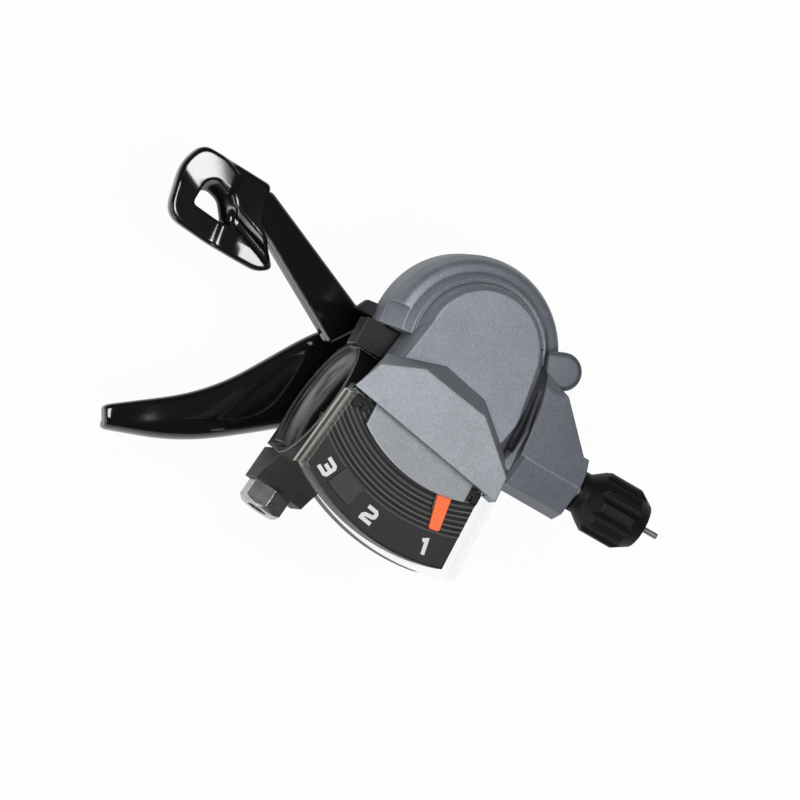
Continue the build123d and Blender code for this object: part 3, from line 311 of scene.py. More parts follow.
def satin_lacquer(name, colour, bright, edge_wear_and_highlight=0.5, hollow=0.0):
    f = Finish(name, 0.45, hollow)
    flakes = f.cells(0.22)
    lively = (flakes * 0.5 + f.noise(6.0) * 0.5).step(0.2, 0.8)
    film = lively.mix(tint(colour, 0.84), tint(colour, 1.12))
    # The edges are painted lighter: partly wear from handling, partly a painted highlight.
    wear_and_highlight = f.edges * edge_wear_and_highlight
    if hollow:
        film, groove_shade = painted_shade(f, film, colour)
        wear_and_highlight = wear_and_highlight * (1 - groove_shade)
    return f.done(f.shader({
        "Base Color": wear_and_highlight.mix(film, tint(bright)), "Metallic": 0.6,
        "Roughness": 0.50 - f.edges * 0.1 + flakes * 0.06,
        "Coat Weight": 0.12, "Coat Roughness": 0.3, "Normal": f.bump(flakes, 0.01, 0.35)}))


cover = satin_lacquer("cover_lacquer", (0.262, 0.280, 0.318), (0.60, 0.62, 0.67), hollow=2.6)
hood = satin_lacquer("hood_lacquer", (0.335, 0.355, 0.385), (0.70, 0.72, 0.77))
# The tongue's lacquer is a lighter copy of the dome's, painted light against the shade under the
# hood, and its edges carry a full painted highlight.
tongue = satin_lacquer("tongue_lacquer", (0.315, 0.320, 0.345), (0.92, 0.92, 0.94), edge_wear_and_highlight=1.0)
dress(cover, "top_cover")
dress(hood, "display_hood")
dress(tongue, "display_mask")

# %% [markdown]
# The housing, the display tray and the adjuster are glass-filled nylon straight from the
# mould, and the drum inside is the same in its natural colour. Spark erosion leaves a fine
# matte grain in the tool, a fraction of a millimetre across, and the edges rub a little
# greyer. Fine noise makes both the grain and the uneven gloss.

# %% Moulded nylon
def moulded_nylon(name, colour, rough, grain, wear_and_highlight):
    f = Finish(name, 0.35)
    pits = f.noise(grain, 3.0)
    tone = f.noise(9.0).step(0.3, 0.7).mix(tint(colour, 0.85), tint(colour, 1.15))
    return f.done(f.shader({
        "Base Color": (f.edges * 0.5).mix(tone, tint(colour, wear_and_highlight)),
        "Roughness": rough + pits * 0.12 - f.edges * 0.08,
        "Specular IOR Level": 0.22, "Normal": f.bump(pits, 0.02, 0.5)}))


dress(moulded_nylon("housing_nylon", (0.010, 0.010, 0.011), 0.46, 0.18, 2.2), "lower_housing")
dress(moulded_nylon("knob_nylon", (0.006, 0.006, 0.0065), 0.44, 0.16, 2.6), "adjuster_knob")
dress(moulded_nylon("display_nylon", (0.012, 0.012, 0.013), 0.40, 0.14, 3.0), "display_tray")
dress(moulded_nylon("drum_nylon", (0.52, 0.51, 0.47), 0.45, 0.20, 1.1), "cable_drum")

# %% [markdown]
# The number plate is moulded in one piece, but its parts read differently: the outer band
# with the numbers is a matte dark grey, the fan of ridges inside it is deep black with its
# crests painted light grey as a highlight, and the little block between two numbers stands
# up in a warmer grey. The distance from the lever pivot and the height tell the shader where
# it is.

# %% Number plate
FAN_R = 34.0 * MM
FAN_EDGE = 0.2 * MM
HALF_RIDGE = 0.5 * MM
RIDGE_CREST = (0.10 * MM, 0.22 * MM)
BLOCK_Z = (19.55 * MM, 19.7 * MM)
BLOCK_GREY = (0.045, 0.043, 0.042, 1)


def scale_plate(name):
    f = Finish(name, 0.16)
    grain = f.noise(0.14, 3.0)
    radius = f.reach(PIVOT.x, PIVOT.y)
    fan = 1 - radius.step(FAN_R, FAN_R + FAN_EDGE)
    lines = 1 - f.wire.math("PINGPONG", radius - FAN_R, HALF_RIDGE).step(*RIDGE_CREST)
    high = f.axis("Z").step(*BLOCK_Z)
    band = grain.step(0.3, 0.7).mix(grey(0.016), grey(0.021))
    tone = (high * (1 - fan)).mix(fan.mix(band, grey(0.0035)), BLOCK_GREY)
    # Painted highlight: the ridge crests are painted light grey.
    crest_highlight = lines * fan * (1 - high) * 0.8
    return f.done(f.shader({
        "Base Color": crest_highlight.mix(tone, grey(0.13)), "Roughness": 0.52 + grain * 0.1,
        "Specular IOR Level": 0.3, "Normal": f.bump(grain, 0.015, 0.4)}))


dress(scale_plate("plate_nylon"), "number_plate")

# %% [markdown]
# The clamp band is the same nylon, but its bore was cored by a polished pin, so the inside
# of the ring is smooth. There its colour is a painted reflection, a lighter grey with one
# painted bright streak, and the inner rims are painted light as a highlight; the other edges
# wear a little lighter. The outside is painted lighter at the rear and darker at the front,
# as painted light and shade. The distance from the bar's axis tells the shader which skin
# is which.

# %% Clamp band with a smooth bore
BORE_R = (11.9 * MM, 12.1 * MM)
RIM_R = (12.9 * MM, 13.3 * MM)
REAR_TO_FRONT = (-14 * MM, 6 * MM)
STREAK_START = (-6.8 * MM, -5.6 * MM)
STREAK_END = (-3.8 * MM, -2.6 * MM)
STREAK_STRETCH = (1.0, 0.1, 0.1)
RIM_HIGHLIGHT_PAINT = (0.60, 0.60, 0.61, 1)


def clamp_nylon(name, colour, bore_reflection_colour):
    f = Finish(name, 0.4)
    pits = f.noise(0.2, 3.0)
    along_bar, across_bar, upward = [f.axis(letter) for letter in "XYZ"]
    radius = (across_bar * across_bar + upward * upward) ** 0.5
    bore = 1 - radius.step(*BORE_R)
    # Painted light and shade: the outside is lighter at the rear and darker at the front.
    tone = across_bar.step(*REAR_TO_FRONT).mix(tint(colour, 1.9), tint(colour, 0.5))
    # Painted reflection: the bore is a lighter grey with one bright streak.
    painted_streak = along_bar.step(*STREAK_START) * (1 - along_bar.step(*STREAK_END))
    painted_streak = painted_streak * f.noise(1.0, 2.0, STREAK_STRETCH).step(0.2, 0.6)
    painted_bore_reflection = painted_streak.clamp().mix(grey(0.012), tint(bore_reflection_colour))
    # Painted highlight: the inner rims are painted light.
    painted_rim_highlight = f.edges * (1 - radius.step(*RIM_R))
    wear_and_highlight = (f.edges * 0.2 + painted_rim_highlight * 0.7).clamp()
    return f.done(f.shader({
        "Base Color": wear_and_highlight.mix(bore.mix(tone, painted_bore_reflection), RIM_HIGHLIGHT_PAINT),
        "Roughness": 0.46 + pits * 0.1 - bore * 0.22 - f.edges * 0.1,
        "Specular IOR Level": 0.3, "Normal": f.bump(pits, 0.02, 0.4)}))


dress(clamp_nylon("clamp_nylon", (0.016, 0.016, 0.0165), (0.36, 0.36, 0.37)), "clamp_band")

# %% [markdown]
# Both levers are gloss black: the arm is enamelled steel, the pad and the thumb paddle are
# polished mouldings. A gloss black shows only reflections, so the skin matters more than
# the colour: a faint orange peel, a few hair scratches where thumbs rub, and a clear coat.

# %% Gloss black
HAIR_STRETCH = (1.0, 14.0, 1.0)


def gloss_black(name, rough, peel, shine, coat_rough=0.06):
    f = Finish(name, 0.5)
    waves = f.noise(1.6, 1.0)
    hairs = f.noise(0.3, 2.0, HAIR_STRETCH).step(0.60, 0.80)
    tone = (f.edges * 0.4).mix((0.0030, 0.0030, 0.0032, 1), (0.012, 0.012, 0.013, 1))
    return f.done(f.shader({
        "Base Color": tone, "Roughness": rough + hairs * 0.04, "Specular IOR Level": 0.4,
        "Coat Weight": shine, "Coat Roughness": coat_rough, "Normal": f.bump(waves, peel, 0.3)}))


dress(gloss_black("arm_enamel", 0.14, 0.015, 0.3), "release_arm")
paddle_gloss = gloss_black("paddle_gloss", 0.12, 0.02, 0.5)
pad_satin = gloss_black("pad_satin", 0.18, 0.015, 0.8, 0.15)

# %% [markdown]
# Two black pieces have soft, changing sections, which a loft gives more easily than cuts
# and fillets: rings of points are drawn one after another and joined by faces. A small
# subdivision rounds what is left. Each ring has the same number of points, so the faces run
# on smoothly, and cut corners become short curves.

# %% Lofted skins
def link_mesh(name, mesh, levels=0):
    """Turn a bmesh into an object, with a subdivision surface if asked."""
    bmesh.ops.recalc_face_normals(mesh, faces=mesh.faces)
    data = bpy.data.meshes.new(name)
    mesh.to_mesh(data)
    mesh.free()
    piece = bpy.data.objects.new(name, data)
    bpy.context.collection.objects.link(piece)
    if levels:
        data.polygons.foreach_set("use_smooth", [True] * len(data.polygons))
        rounding = piece.modifiers.new("rounding", "SUBSURF")
        rounding.levels = levels
        rounding.render_levels = levels
    print(name, len(data.polygons), "faces")
    return piece


def skin(mesh, rings, loop):
    """Join rings of points by faces; loop joins the last ring to the first."""
    rows = [[mesh.verts.new(from_pivot(*point)) for point in ring] for ring in rings]
    pairs = list(zip(rows, rows[1:]))
    if loop:
        pairs.append((rows[-1], rows[0]))
    for first, second in pairs:
        count = len(first)
        for i in range(count):
            j = (i + 1) % count
            mesh.faces.new((first[i], first[j], second[j], second[i]))
    return rows


def curve(start, corner, end, t):
    """A point of the short curve that cuts a corner."""
    return start * (1 - t) ** 2 + corner * 2 * t * (1 - t) + end * t ** 2


# %% Closed outlines with cut corners
LONGEST_CUT = 0.45
SHARPEST = 0.8


def rounded_ring(corners, cuts, parts, between):
    """A closed ring through cut corners, with the same number of points for every outline."""
    ring = []
    count = len(corners)
    for i, corner in enumerate(corners):
        before = corners[i - 1]
        after = corners[(i + 1) % count]
        longest = LONGEST_CUT * (after - corner).length
        back = min(cuts[i], LONGEST_CUT * (before - corner).length)
        start = corner + (before - corner).normalized() * back
        end = corner + (after - corner).normalized() * min(cuts[i], longest)
        ring += [curve(start, corner, end, k / (parts - 1)) for k in range(parts)]
        following = min(cuts[(i + 1) % count], longest)
        target = after + (corner - after).normalized() * following
        ring += [end.lerp(target, k / (between + 1)) for k in range(1, between + 1)]
    return ring


def inset(corners, distance):
    """The corners of an outline moved inward."""
    moved = []
    for i, corner in enumerate(corners):
        into = (corner - corners[i - 1]).normalized()
        away = (corners[(i + 1) % len(corners)] - corner).normalized()
        normal = Vector((-into.y, into.x)) + Vector((-away.y, away.x))
        moved.append(corner + normal * (2 * distance / max(normal.length_squared, SHARPEST)))
    return moved


def blend(first, second, share):
    return [a * (1 - share) + b * share for a, b in zip(first, second)]


print("loft helpers ready")

# %% [markdown]
# The release pad is a soft frame round a finger hole. A shoulder falls to its outer side,
# the arm's flat runs into it and ends in a bevel, and a lower bar closes the frame. It could
# be carved from a block, but a loft keeps its edges soft: the same eight corners are drawn
# for the outside and for the hole, every ring between them is a blend, and one function
# gives the height of the top.

# %% Height of the pad
SHOULDER_Z = -9.75
FLAT_Z = -10.45
BAR_Z = -11.1
ARM_SIDE = (Vector((-54.7, 12.7)), Vector((-50.8, 11.0)))
RIB = (Vector((-49.9, 6.4)), Vector((-41.0, 3.2)))


def smooth(value, low, high):
    t = min(max((value - low) / (high - low), 0.0), 1.0)
    return t * t * (3 - 2 * t)


def left_of(point, line):
    """The distance of a point to the left of a line."""
    run = (line[1] - line[0]).normalized()
    away = point - line[0]
    return run.x * away.y - run.y * away.x


def pad_top(point):
    """Height of the pad's top, blended from its outer and its arm side."""
    x, y = point
    # the lower bar, with a small step where its two halves meet
    bar = BAR_Z - 0.07 * (x + 56) + 0.6 * smooth(x + 0.12 * (y + 3), -50.1, -49.1)
    # the shoulder, which falls away towards the outer side
    out = max(0.0, -0.8 * (x + 51.5) - 0.6 * (y - 13.0))
    upper = smooth(y + 0.1 * (x + 60), 4.4, 8.4)
    shoulder = upper * (SHOULDER_Z - 0.011 * out ** 2) + (1 - upper) * bar
    # the arm's flat, the bevel below its rib, and the facet at the tip of the bar
    below = max(0.0, -left_of(point, RIB))
    flat = FLAT_Z - 0.48 * smooth(x, -53.0, -44.0) - min(below, 1.5)
    rise = 0.15 * max(0.0, x + 45.9)
    fall = 0.14 * max(0.0, 0.3 - y) * smooth(x, -47.0, -44.0)
    across = smooth(below, 2.5, 3.3)
    beside = flat * (1 - across) + (bar + rise - fall) * across
    # the share of the arm side at this point
    reach = max(smooth(x, -52.0, -51.0) * upper, smooth(left_of(point, ARM_SIDE), -0.2, 0.4))
    reach = max(reach, smooth(x, -51.0, -50.0))
    return shoulder * (1 - reach) + beside * reach


print("pad height at the hole's front", round(pad_top(Vector((-54.6, 8.7))), 2), "mm")

# %% Release pad
PAD_SIDE = ((-44.9, 13.0), (-60.7, 13.3), (-62.6, 8.0), (-60.4, -2.2),
            (-49.6, -3.0), (-39.4, -2.9), (-36.8, -0.8), (-42.6, 5.6))
PAD_HOLE = ((-50.4, 7.2), (-54.6, 8.7), (-56.7, 7.6), (-56.9, 2.4),
            (-50.2, 1.9), (-48.5, 2.1), (-47.7, 3.5), (-49.0, 5.4))
PAD_HOLE_FOOT = ((-52.8, 5.2), (-55.0, 5.9), (-56.3, 5.2), (-56.6, 2.2),
                 (-52.2, 1.6), (-50.9, 1.8), (-50.5, 2.4), (-51.6, 3.9))
PAD_CUTS = (1.0, 2.2, 3.0, 3.4, 3.0, 1.6, 1.2, 2.0)
HOLE_CUTS = (1.0, 1.0, 1.0, 1.0, 1.0, 0.8, 0.8, 1.0)
CORNER_POINTS = 8
EDGE_POINTS = 12
LEAN_START = 11.2
LEAN_DEPTH = 3.2
PAD_WALL = ((0.9, -14.8), (0.2, -14.3), (0.0, -13.2), (0.0, -12.2))
PAD_BROW = ((0.0, 0.8), (0.12, 0.4), (0.45, 0.1))
PAD_BORE = ((1.0, -12.0), (1.0, -13.0), (1.0, -14.2), (0.95, -14.8), (0.5, -14.8))
TOP_RINGS = 26
TOP_GAP = 0.75
FOOT_GAP = 0.9
HOLE_EDGE_DROP = 0.25


def pad_ring(share, gap, height, drop):
    """One ring between the outside and the hole, at a height or a drop below the top."""
    deep = min(max((-height - LEAN_START) / LEAN_DEPTH, 0.0), 1.0) if height else 0.0
    side = inset([Vector(c) for c in PAD_SIDE], gap)
    hole = blend([Vector(c) for c in PAD_HOLE], [Vector(c) for c in PAD_HOLE_FOOT], deep)
    cuts = blend(PAD_CUTS, HOLE_CUTS, share)
    points = rounded_ring(blend(side, hole, share), cuts, CORNER_POINTS, EDGE_POINTS)
    return [(*point, height or pad_top(point) - drop) for point in points]


pad_rings = [pad_ring(0.0, gap, height, 0.0) for gap, height in PAD_WALL]
pad_rings += [pad_ring(0.0, gap, None, drop) for gap, drop in PAD_BROW]
for k in range(TOP_RINGS + 1):
    share = k / TOP_RINGS
    pad_rings.append(pad_ring(share, TOP_GAP, None, HOLE_EDGE_DROP * smooth(share, 0.9, 1.0)))
pad_rings += [pad_ring(share, FOOT_GAP, height, 0.0) for share, height in PAD_BORE]
mesh = bmesh.new()
skin(mesh, pad_rings, True)
pad = link_mesh("release_pad_skin", mesh, 1)
pad.data.materials.append(pad_satin)
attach(pad, "release_lever")
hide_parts("release_pad")

# %% [markdown]
# The thumb paddle is a curved blade whose rear edge rolls down into a lip, which is what
# the thumb pushes. It is one more loft: a closed section is carried from the hub to the
# tip between the front and the rear edge. The roll keeps its size while the blade narrows,
# so the section is drawn in millimetres from the two edges and not in shares of the width.

# %% Edges of the paddle
PADDLE_FRONT = ((-3.0, 8.4), (-20.9, -4.6), (-34.8, -26.4), (-52.0, -38.7))
PADDLE_REAR = ((2.0, -8.7), (-19.4, -26.6), (-34.4, -37.6), (-49.4, -42.8))
FRONT_BENDS = (6.0, 9.0)
REAR_BENDS = (7.0, 8.0)
BEND_PARTS = 8


def bent_line(points, bends):
    """A fine polyline through cut corners."""
    points = [Vector(point) for point in points]
    line = [points[0]]
    for before, corner, after, cut in zip(points, points[1:], points[2:], bends):
        start = corner + (before - corner).normalized() * cut
        end = corner + (after - corner).normalized() * cut
        line += [curve(start, corner, end, k / BEND_PARTS) for k in range(BEND_PARTS + 1)]
    return line + [points[-1]]


def along_line(line, share):
    """The point at a share of the line's length."""
    lengths = [(b - a).length for a, b in zip(line, line[1:])]
    left = share * sum(lengths)
    for a, b, length in zip(line, line[1:], lengths):
        if left <= length:
            return a.lerp(b, left / length)
        left -= length
    return line[-1]


front_line = bent_line(PADDLE_FRONT, FRONT_BENDS)
rear_line = bent_line(PADDLE_REAR, REAR_BENDS)
print("paddle edges", len(front_line), "and", len(rear_line), "points")

# %% Section of the paddle
PADDLE_TOP = -17.8
PADDLE_LOW = -21.2
LIP_LOW = -23.4
FRONT_HIGH = -18.8
FRONT_LOW = -20.6
FULL_WIDTH = 9


def paddle_section(front, rear, roll, dish):
    """One closed section of the blade between its two edges."""
    width = (rear - front).length
    edge = min(1.0, width / FULL_WIDTH)
    lip = PADDLE_LOW - (PADDLE_LOW - LIP_LOW) * roll
    outline = (
        (0.0, FRONT_HIGH), (0.45 * edge, PADDLE_TOP - 0.25), (1.3 * edge, PADDLE_TOP),
        (width * 0.5, PADDLE_TOP - dish),
        (width - 3.4 * edge, PADDLE_TOP - 0.35 * dish - 0.1 * roll),
        (width - 1.9 * edge, PADDLE_TOP - 0.55 * roll),
        (width - 0.7 * edge, PADDLE_TOP - 0.3 - 1.3 * roll),
        (width, PADDLE_TOP - 1.0 - 2.4 * roll), (width, lip + 0.8),
        (width - 0.5 * edge, lip), (width - 1.3 * edge, lip + 0.2),
        (width - 1.9 * edge, lip + 1.0 * roll), (width - 3.2 * edge, PADDLE_LOW),
        (width * 0.5, PADDLE_LOW), (1.0 * edge, PADDLE_LOW), (0.1, FRONT_LOW))
    return [(*front.lerp(rear, out / width), height) for out, height in outline]


# %% Thumb paddle
STATIONS = 26
LIP_START = 0.24
LIP_GROWTH = 0.2
DISH_AT = 0.91
DISH_HALF = 0.08
DISH_DEEP = 0.55
END_INSET = 0.35
HUB = ((4.5, -21.2), (8.4, -21.2), (9.0, -20.6), (9.0, -18.4), (8.4, -17.8), (4.5, -17.8))
HUB_PARTS = 40

sections = []
for k in range(STATIONS):
    share = k / (STATIONS - 1)
    roll = min(max((share - LIP_START) / LIP_GROWTH, 0.0), 1.0)
    dish = DISH_DEEP * max(0.0, 1 - abs(share - DISH_AT) / DISH_HALF)
    front = along_line(front_line, share)
    rear = along_line(rear_line, share)
    sections.append(paddle_section(front, rear, roll, dish))
mesh = bmesh.new()
rows = skin(mesh, sections, False)
for row in (rows[0], rows[-1]):
    middle = sum((v.co for v in row), Vector()) / len(row)
    inner = [mesh.verts.new(v.co.lerp(middle, END_INSET)) for v in row]
    count = len(row)
    for i in range(count):
        j = (i + 1) % count
        mesh.faces.new((row[i], row[j], inner[j], inner[i]))
    mesh.faces.new(inner)
hub_rings = []
for k in range(HUB_PARTS):
    angle = 2 * math.pi * k / HUB_PARTS
    hub_rings.append([(r * math.cos(angle), r * math.sin(angle), z) for r, z in HUB])
skin(mesh, hub_rings, True)
paddle = link_mesh("thumb_paddle", mesh, 2)
paddle.data.materials.append(paddle_gloss)
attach(paddle, "thumb_lever")
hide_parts("main_lever")

# %% [markdown]
# The metal pieces have five finishes: the plated clamp bolt, the zinc plated screws and
# stampings, the dark oiled springs, the blackened arm of the needle and the turned alloy
# stem. All are full metals. What tells them apart is the colour, the roughness and how
# blotchy the surface is, so one recipe takes those as values.

# %% Plated and oiled metal
LINE_STRETCH = (1.0, 1.0, 9.0)
WORN_METAL = (0.86, 0.86, 0.88, 1)


def plated_steel(name, colour, rough, blotch):
    f = Finish(name, 0.2)
    patches = f.noise(1.8, 3.0)
    lines = f.noise(0.12, 2.0, LINE_STRETCH)
    tone = patches.step(0.3, 0.75).mix(tint(colour, 1 - blotch), tint(colour))
    return f.done(f.shader({
        "Base Color": (f.edges * 0.5).mix(tone, WORN_METAL), "Metallic": 1.0,
        "Roughness": rough + lines * 0.10 + patches * 0.06,
        "Normal": f.bump(lines, 0.01, 0.25)}))


dress(plated_steel("bright_plate", (0.64, 0.64, 0.65), 0.24, 0.25), "clamp_bolt")
dress(plated_steel("zinc_plate", (0.58, 0.58, 0.61), 0.28, 0.22),
      "base_plate", "clamp_screws", "cover_screws", "base_screws", "tray_screws",
      "inner_cable", "cable_end", "ratchet_wheel", "lever_sleeve", "pawl_carrier",
      "feed_pawl", "feed_pawl_pin", "retaining_pawl", "retaining_pawl_pin",
      "main_axle", "axle_washer", "axle_nut")
dress(plated_steel("oiled_spring", (0.40, 0.40, 0.43), 0.32, 0.30),
      "drum_spring", "lever_spring", "release_spring")
dress(plated_steel("black_oxide", (0.030, 0.030, 0.032), 0.36, 0.20), "indicator_arm")
dress(plated_steel("turned_alloy", (0.66, 0.66, 0.69), 0.24, 0.10), "adjuster_stem")

# %% [markdown]
# The window is a clear moulded lid. From above it almost disappears: a Transparent shader
# mixed with a glossy one by Fresnel makes the pane, and light still reaches the numbers.
# What shows are the lines that its skirt makes by refraction, and these are painted in: at
# the foot of the skirt, and on its edges at the lever side, a matte shader takes over from
# the pane, pale at the lever side as a painted reflection and dark along the front as
# painted shade.

# %% Clear window
LID_R = 42.1 * MM
LID_FRONT = (LID_R - 0.2 * MM, LID_R - 0.1 * MM)
LEVER_SIDE = (-7.2 * MM, -6.2 * MM)
FAR_WALL = (22 * MM, 23 * MM)
SIDE_FOOT_Z = (19.5 * MM, 19.8 * MM)
FRONT_FOOT_Z = (21.3 * MM, 21.6 * MM)
UPRIGHT = (0.1, 0.3)
PALE_LINE = (0.84, 0.82, 0.70, 1)


def clear_lid(name):
    f = Finish(name, 0.2)
    haze = f.noise(5.0)
    side = 1 - f.axis("X").step(*LEVER_SIDE)
    far_wall = f.axis("X").step(*FAR_WALL)
    front = f.reach(PIVOT.x, PIVOT.y).step(*LID_FRONT)
    tilt = f.wire.add("ShaderNodeSeparateXYZ", None, {"Vector": f.true}, out="Z")
    upright = 1 - (tilt * tilt).step(*UPRIGHT)
    side_foot = (1 - f.axis("Z").step(*SIDE_FOOT_Z)) * side
    front_foot = front * (1 - f.axis("Z").step(*FRONT_FOOT_Z)) * (1 - far_wall)
    foot = (side_foot + front_foot).clamp() * upright
    # Painted reflection and painted shade: the skirt's refraction lines, pale at the lever side
    # and dark along the front.
    line = (side * (1 - front)).mix(grey(0.012), PALE_LINE)
    through = f.wire.add("ShaderNodeBsdfTransparent", None, {"Color": (0.985, 0.99, 0.99, 1)})
    gloss = f.shader({"Base Color": grey(0.5), "Roughness": 0.08 + haze * 0.06})
    facing = f.wire.add("ShaderNodeFresnel", None, {"IOR": 1.45})
    mirrored = facing * (0.2 - far_wall * 0.15)
    pane = f.wire.add("ShaderNodeMixShader", None, {0: mirrored, 1: through, 2: gloss})
    painted_refraction_lines = f.shader({
        "Base Color": line, "Roughness": 0.6 + haze * 0.1, "Specular IOR Level": 0.04})
    share = (foot * 0.85 + f.edges * side * 0.6).clamp()
    return f.done(f.wire.add("ShaderNodeMixShader", None, {0: share, 1: pane, 2: painted_refraction_lines}))


dress(clear_lid("window_clear"), "display_window")

# %% [markdown]
# The needle is a slip of fluorescent orange plastic that has to be read at a glance, so it is
# flat, and its fluorescence is painted in as a faint glow of its own colour. Even so the
# moulding has a soft grain and a paler edge.

# %% Orange needle
def needle_orange(name):
    f = Finish(name, 0.15)
    grain = f.noise(0.25, 2.0)
    tone = grain.step(0.3, 0.7).mix((0.92, 0.13, 0.025, 1), (1.0, 0.17, 0.035, 1))
    slip = (f.edges * 0.4).mix(tone, (1.0, 0.32, 0.12, 1))
    # Painted light: the needle glows faintly in its own colour, though it is no lamp.
    return f.done(f.shader({
        "Base Color": slip, "Roughness": 0.42 + grain * 0.1, "Normal": f.bump(grain, 0.01, 0.3),
        "Emission Color": slip, "Emission Strength": 0.15}))


dress(needle_orange("needle_orange"), "indicator_needle")

# %% [markdown]
# The three gear numbers are printed in white on the plate. Real print has a thickness of a
# few hundredths of a millimetre, and each number here is one or two bent strokes. A stroke
# follows a few points with mitred corners, so the numbers stay crisp and cost few faces.

# %% Strokes
MITRE_LIMIT = 0.6
TURNS_BACK = 0.2


def stroke_sides(path, width):
    """The left and right side of a stroke, with mitred corners."""
    points = [Vector(p) for p in path]
    sides = []
    for i, point in enumerate(points):
        before = (point - points[max(i - 1, 0)]).normalized()
        after = (points[min(i + 1, len(points) - 1)] - point).normalized()
        before = before if before.length else after
        after = after if after.length else before
        bisector = before + after
        bisector = bisector.normalized() if bisector.length > TURNS_BACK else before
        normal = Vector((-bisector.y, bisector.x))
        lean = max(MITRE_LIMIT, normal.dot(Vector((-before.y, before.x))))
        sides.append((point + normal * width / 2 / lean, point - normal * width / 2 / lean))
    return sides


print("a straight stroke has sides", stroke_sides(((0, 0), (1, 0)), 1.0)[0])

# %% Gear numbers
PRINT_Z = 19.2
PRINT_THICK = 0.06
PRINT_R = 37.0
STROKE = 0.78
NUMBERS = {
    "number_1": (10.0, [((-0.85, 0.95), (0.0, 1.25), (0.0, -1.65))]),
    "number_2": (-9.4, [((-1.15, 1.25), (0.75, 1.25), (1.1, 0.9), (1.1, 0.3), (0.8, 0.0),
                         (-0.75, -0.35), (-1.1, -0.7), (-1.1, -1.25), (1.25, -1.25))]),
    "number_3": (-28.5, [((-1.2, 1.25), (0.8, 1.25), (1.15, 0.9), (1.15, -0.9), (0.8, -1.25),
                          (-1.2, -1.25)),
                         ((-0.6, 0.0), (0.76, 0.0))]),
}


def print_number(name, angle, paths):
    """One number as thin raised strokes on the plate, upright towards the pivot."""
    turn = math.radians(angle)
    outward = Vector((math.sin(turn), -math.cos(turn)))
    along = Vector((math.cos(turn), math.sin(turn)))
    high = PRINT_Z + PRINT_THICK
    mesh = bmesh.new()
    for path in paths:
        sections = []
        for sides in stroke_sides(path, STROKE):
            left, other = [outward * (PRINT_R - side.y) + along * side.x for side in sides]
            sections.append([(*left, PRINT_Z), (*left, high), (*other, high), (*other, PRINT_Z)])
        rows = skin(mesh, sections, False)
        mesh.faces.new(rows[0])
        mesh.faces.new(rows[-1])
    return link_mesh(name, mesh)


def white_print(name):
    f = Finish(name, 0.03)
    grain = f.noise(0.2, 2.0)
    tone = grain.step(0.3, 0.7).mix((0.78, 0.78, 0.77, 1), (0.88, 0.88, 0.87, 1))
    return f.done(f.shader({"Base Color": tone, "Roughness": 0.5 + grain * 0.1}))


ink = white_print("white_print")
for name, (angle, paths) in NUMBERS.items():
    number = print_number(name, angle, paths)
    number.data.materials.append(ink)
    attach(number, "mount_and_case")

# %% [markdown]
# The set is a plain white sheet some way below the part, so the shadow stays soft. The floor
# shows nearly white to the camera and to glass, less so to mirrors, and keeps part of its own
# shading for the shadow. The Light Path node tells which kind of ray is looking.

# %% Floor
FLOOR_Z = -75.0
FLOOR_HALF = 900.0
FLOOR_PARTS = 8
PAPER_GRAIN = 900.0
SEEN_WHITE = 0.95
MIRRORED_WHITE = 0.4


def ray_kind(wire, kind):
    """1 where the ray is of this kind."""
    return wire.add("ShaderNodeLightPath", out=kind)


def studio_floor(name):
    material = bpy.data.materials.new(name)
    material.use_nodes = True
    material.node_tree.nodes.clear()
    w = Wire(material.node_tree)
    place = w.add("ShaderNodeTexCoord", out="Object")
    paper = w.add("ShaderNodeTexNoise", None, {"Vector": place, "Scale": PAPER_GRAIN})
    tone = paper.step(0.2, 0.8).mix(grey(0.90), grey(0.92))
    matt = w.add("ShaderNodeBsdfDiffuse", None, {"Color": tone})
    white = w.add("ShaderNodeEmission", None, {"Color": grey(1), "Strength": 1.0})
    seen = ray_kind(w, "Is Camera Ray") + ray_kind(w, "Is Transmission Ray")
    share = (seen * SEEN_WHITE + ray_kind(w, "Is Glossy Ray") * MIRRORED_WHITE).clamp()
    surface = w.add("ShaderNodeMixShader", None, {0: share, 1: matt, 2: white})
    w.add("ShaderNodeOutputMaterial", None, {"Surface": surface})
    return material


mesh = bmesh.new()
bmesh.ops.create_grid(mesh, x_segments=FLOOR_PARTS, y_segments=FLOOR_PARTS, size=FLOOR_HALF * MM)
floor_data = bpy.data.meshes.new("studio_floor")
mesh.to_mesh(floor_data)
mesh.free()
floor = bpy.data.objects.new("studio_floor", floor_data)
floor.location = (0, 0, FLOOR_Z * MM)
floor.data.materials.append(studio_floor("floor_paper"))
bpy.context.collection.objects.link(floor)
floor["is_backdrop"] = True
print("floor at", FLOOR_Z, "mm")

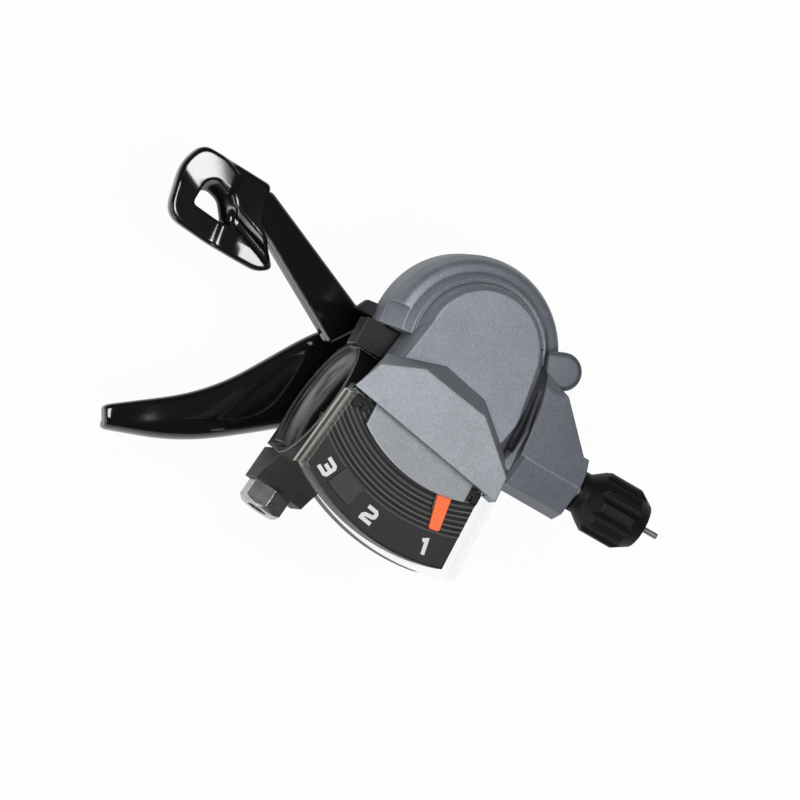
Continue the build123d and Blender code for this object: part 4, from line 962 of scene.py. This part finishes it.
# %% [markdown]
# Two lamps are enough. A broad one above leans to the lever side and makes the bright side
# of the dome, and a long strip draws the lines on the gloss black. Both face the middle of
# the part, and their places are written in body millimetres like everything else.

# %% Lamps
LAMPS = (
    ("top_softbox", (-80, -40, 620), 260, 260, 3.2),
    ("lever_strip", (-300, -340, 100), 560, 80, 0.8),
)
LAMP_AIM = (5, 15, 0)


def softbox(name, place, width, height, watts):
    """An area lamp that faces the middle of the part."""
    data = bpy.data.lights.new(name, "AREA")
    data.shape = "RECTANGLE"
    data.size = width * MM
    data.size_y = height * MM
    data.energy = watts
    lamp = bpy.data.objects.new(name, data)
    lamp.location = spot(*place)
    lamp.rotation_euler = (spot(*LAMP_AIM) - lamp.location).to_track_quat("-Z", "Y").to_euler()
    bpy.context.collection.objects.link(lamp)
    print(name, watts, "W")


for values in LAMPS:
    softbox(*values)

# %% [markdown]
# A dim, slightly cool world fills the shadows. The camera and the clear window see it as
# plain white instead, so that the background is white without more light on the part.

# %% World
WORLD_FILL = 0.08

world = bpy.data.worlds.new("studio")
bpy.context.scene.world = world
world.use_nodes = True
world.node_tree.nodes.clear()
w = Wire(world.node_tree)
dim = w.add("ShaderNodeBackground", None, {"Color": (0.93, 0.95, 1.0, 1), "Strength": WORLD_FILL})
white = w.add("ShaderNodeBackground", None, {"Color": grey(1), "Strength": 1.0})
seen = (ray_kind(w, "Is Camera Ray") + ray_kind(w, "Is Transmission Ray")).clamp()
shown = w.add("ShaderNodeMixShader", None, {0: seen, 1: dim, 2: white})
w.add("ShaderNodeOutputWorld", None, {"Surface": shown})
bpy.context.scene.view_settings.view_transform = "Standard"
print("world ready")

# %% [markdown]
# The last cell notes the size of the frame and of the dressed model side by side, so that
# a piece that grew past the solids is seen at once.

# %% Sizes
dressed_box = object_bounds()
below = [round((a - b) / MM, 2) for a, b in zip(cad_box[0], dressed_box[0])]
above = [round((b - a) / MM, 2) for a, b in zip(cad_box[1], dressed_box[1])]
print("past the solids by", below, "and", above, "mm; a minus is inside")
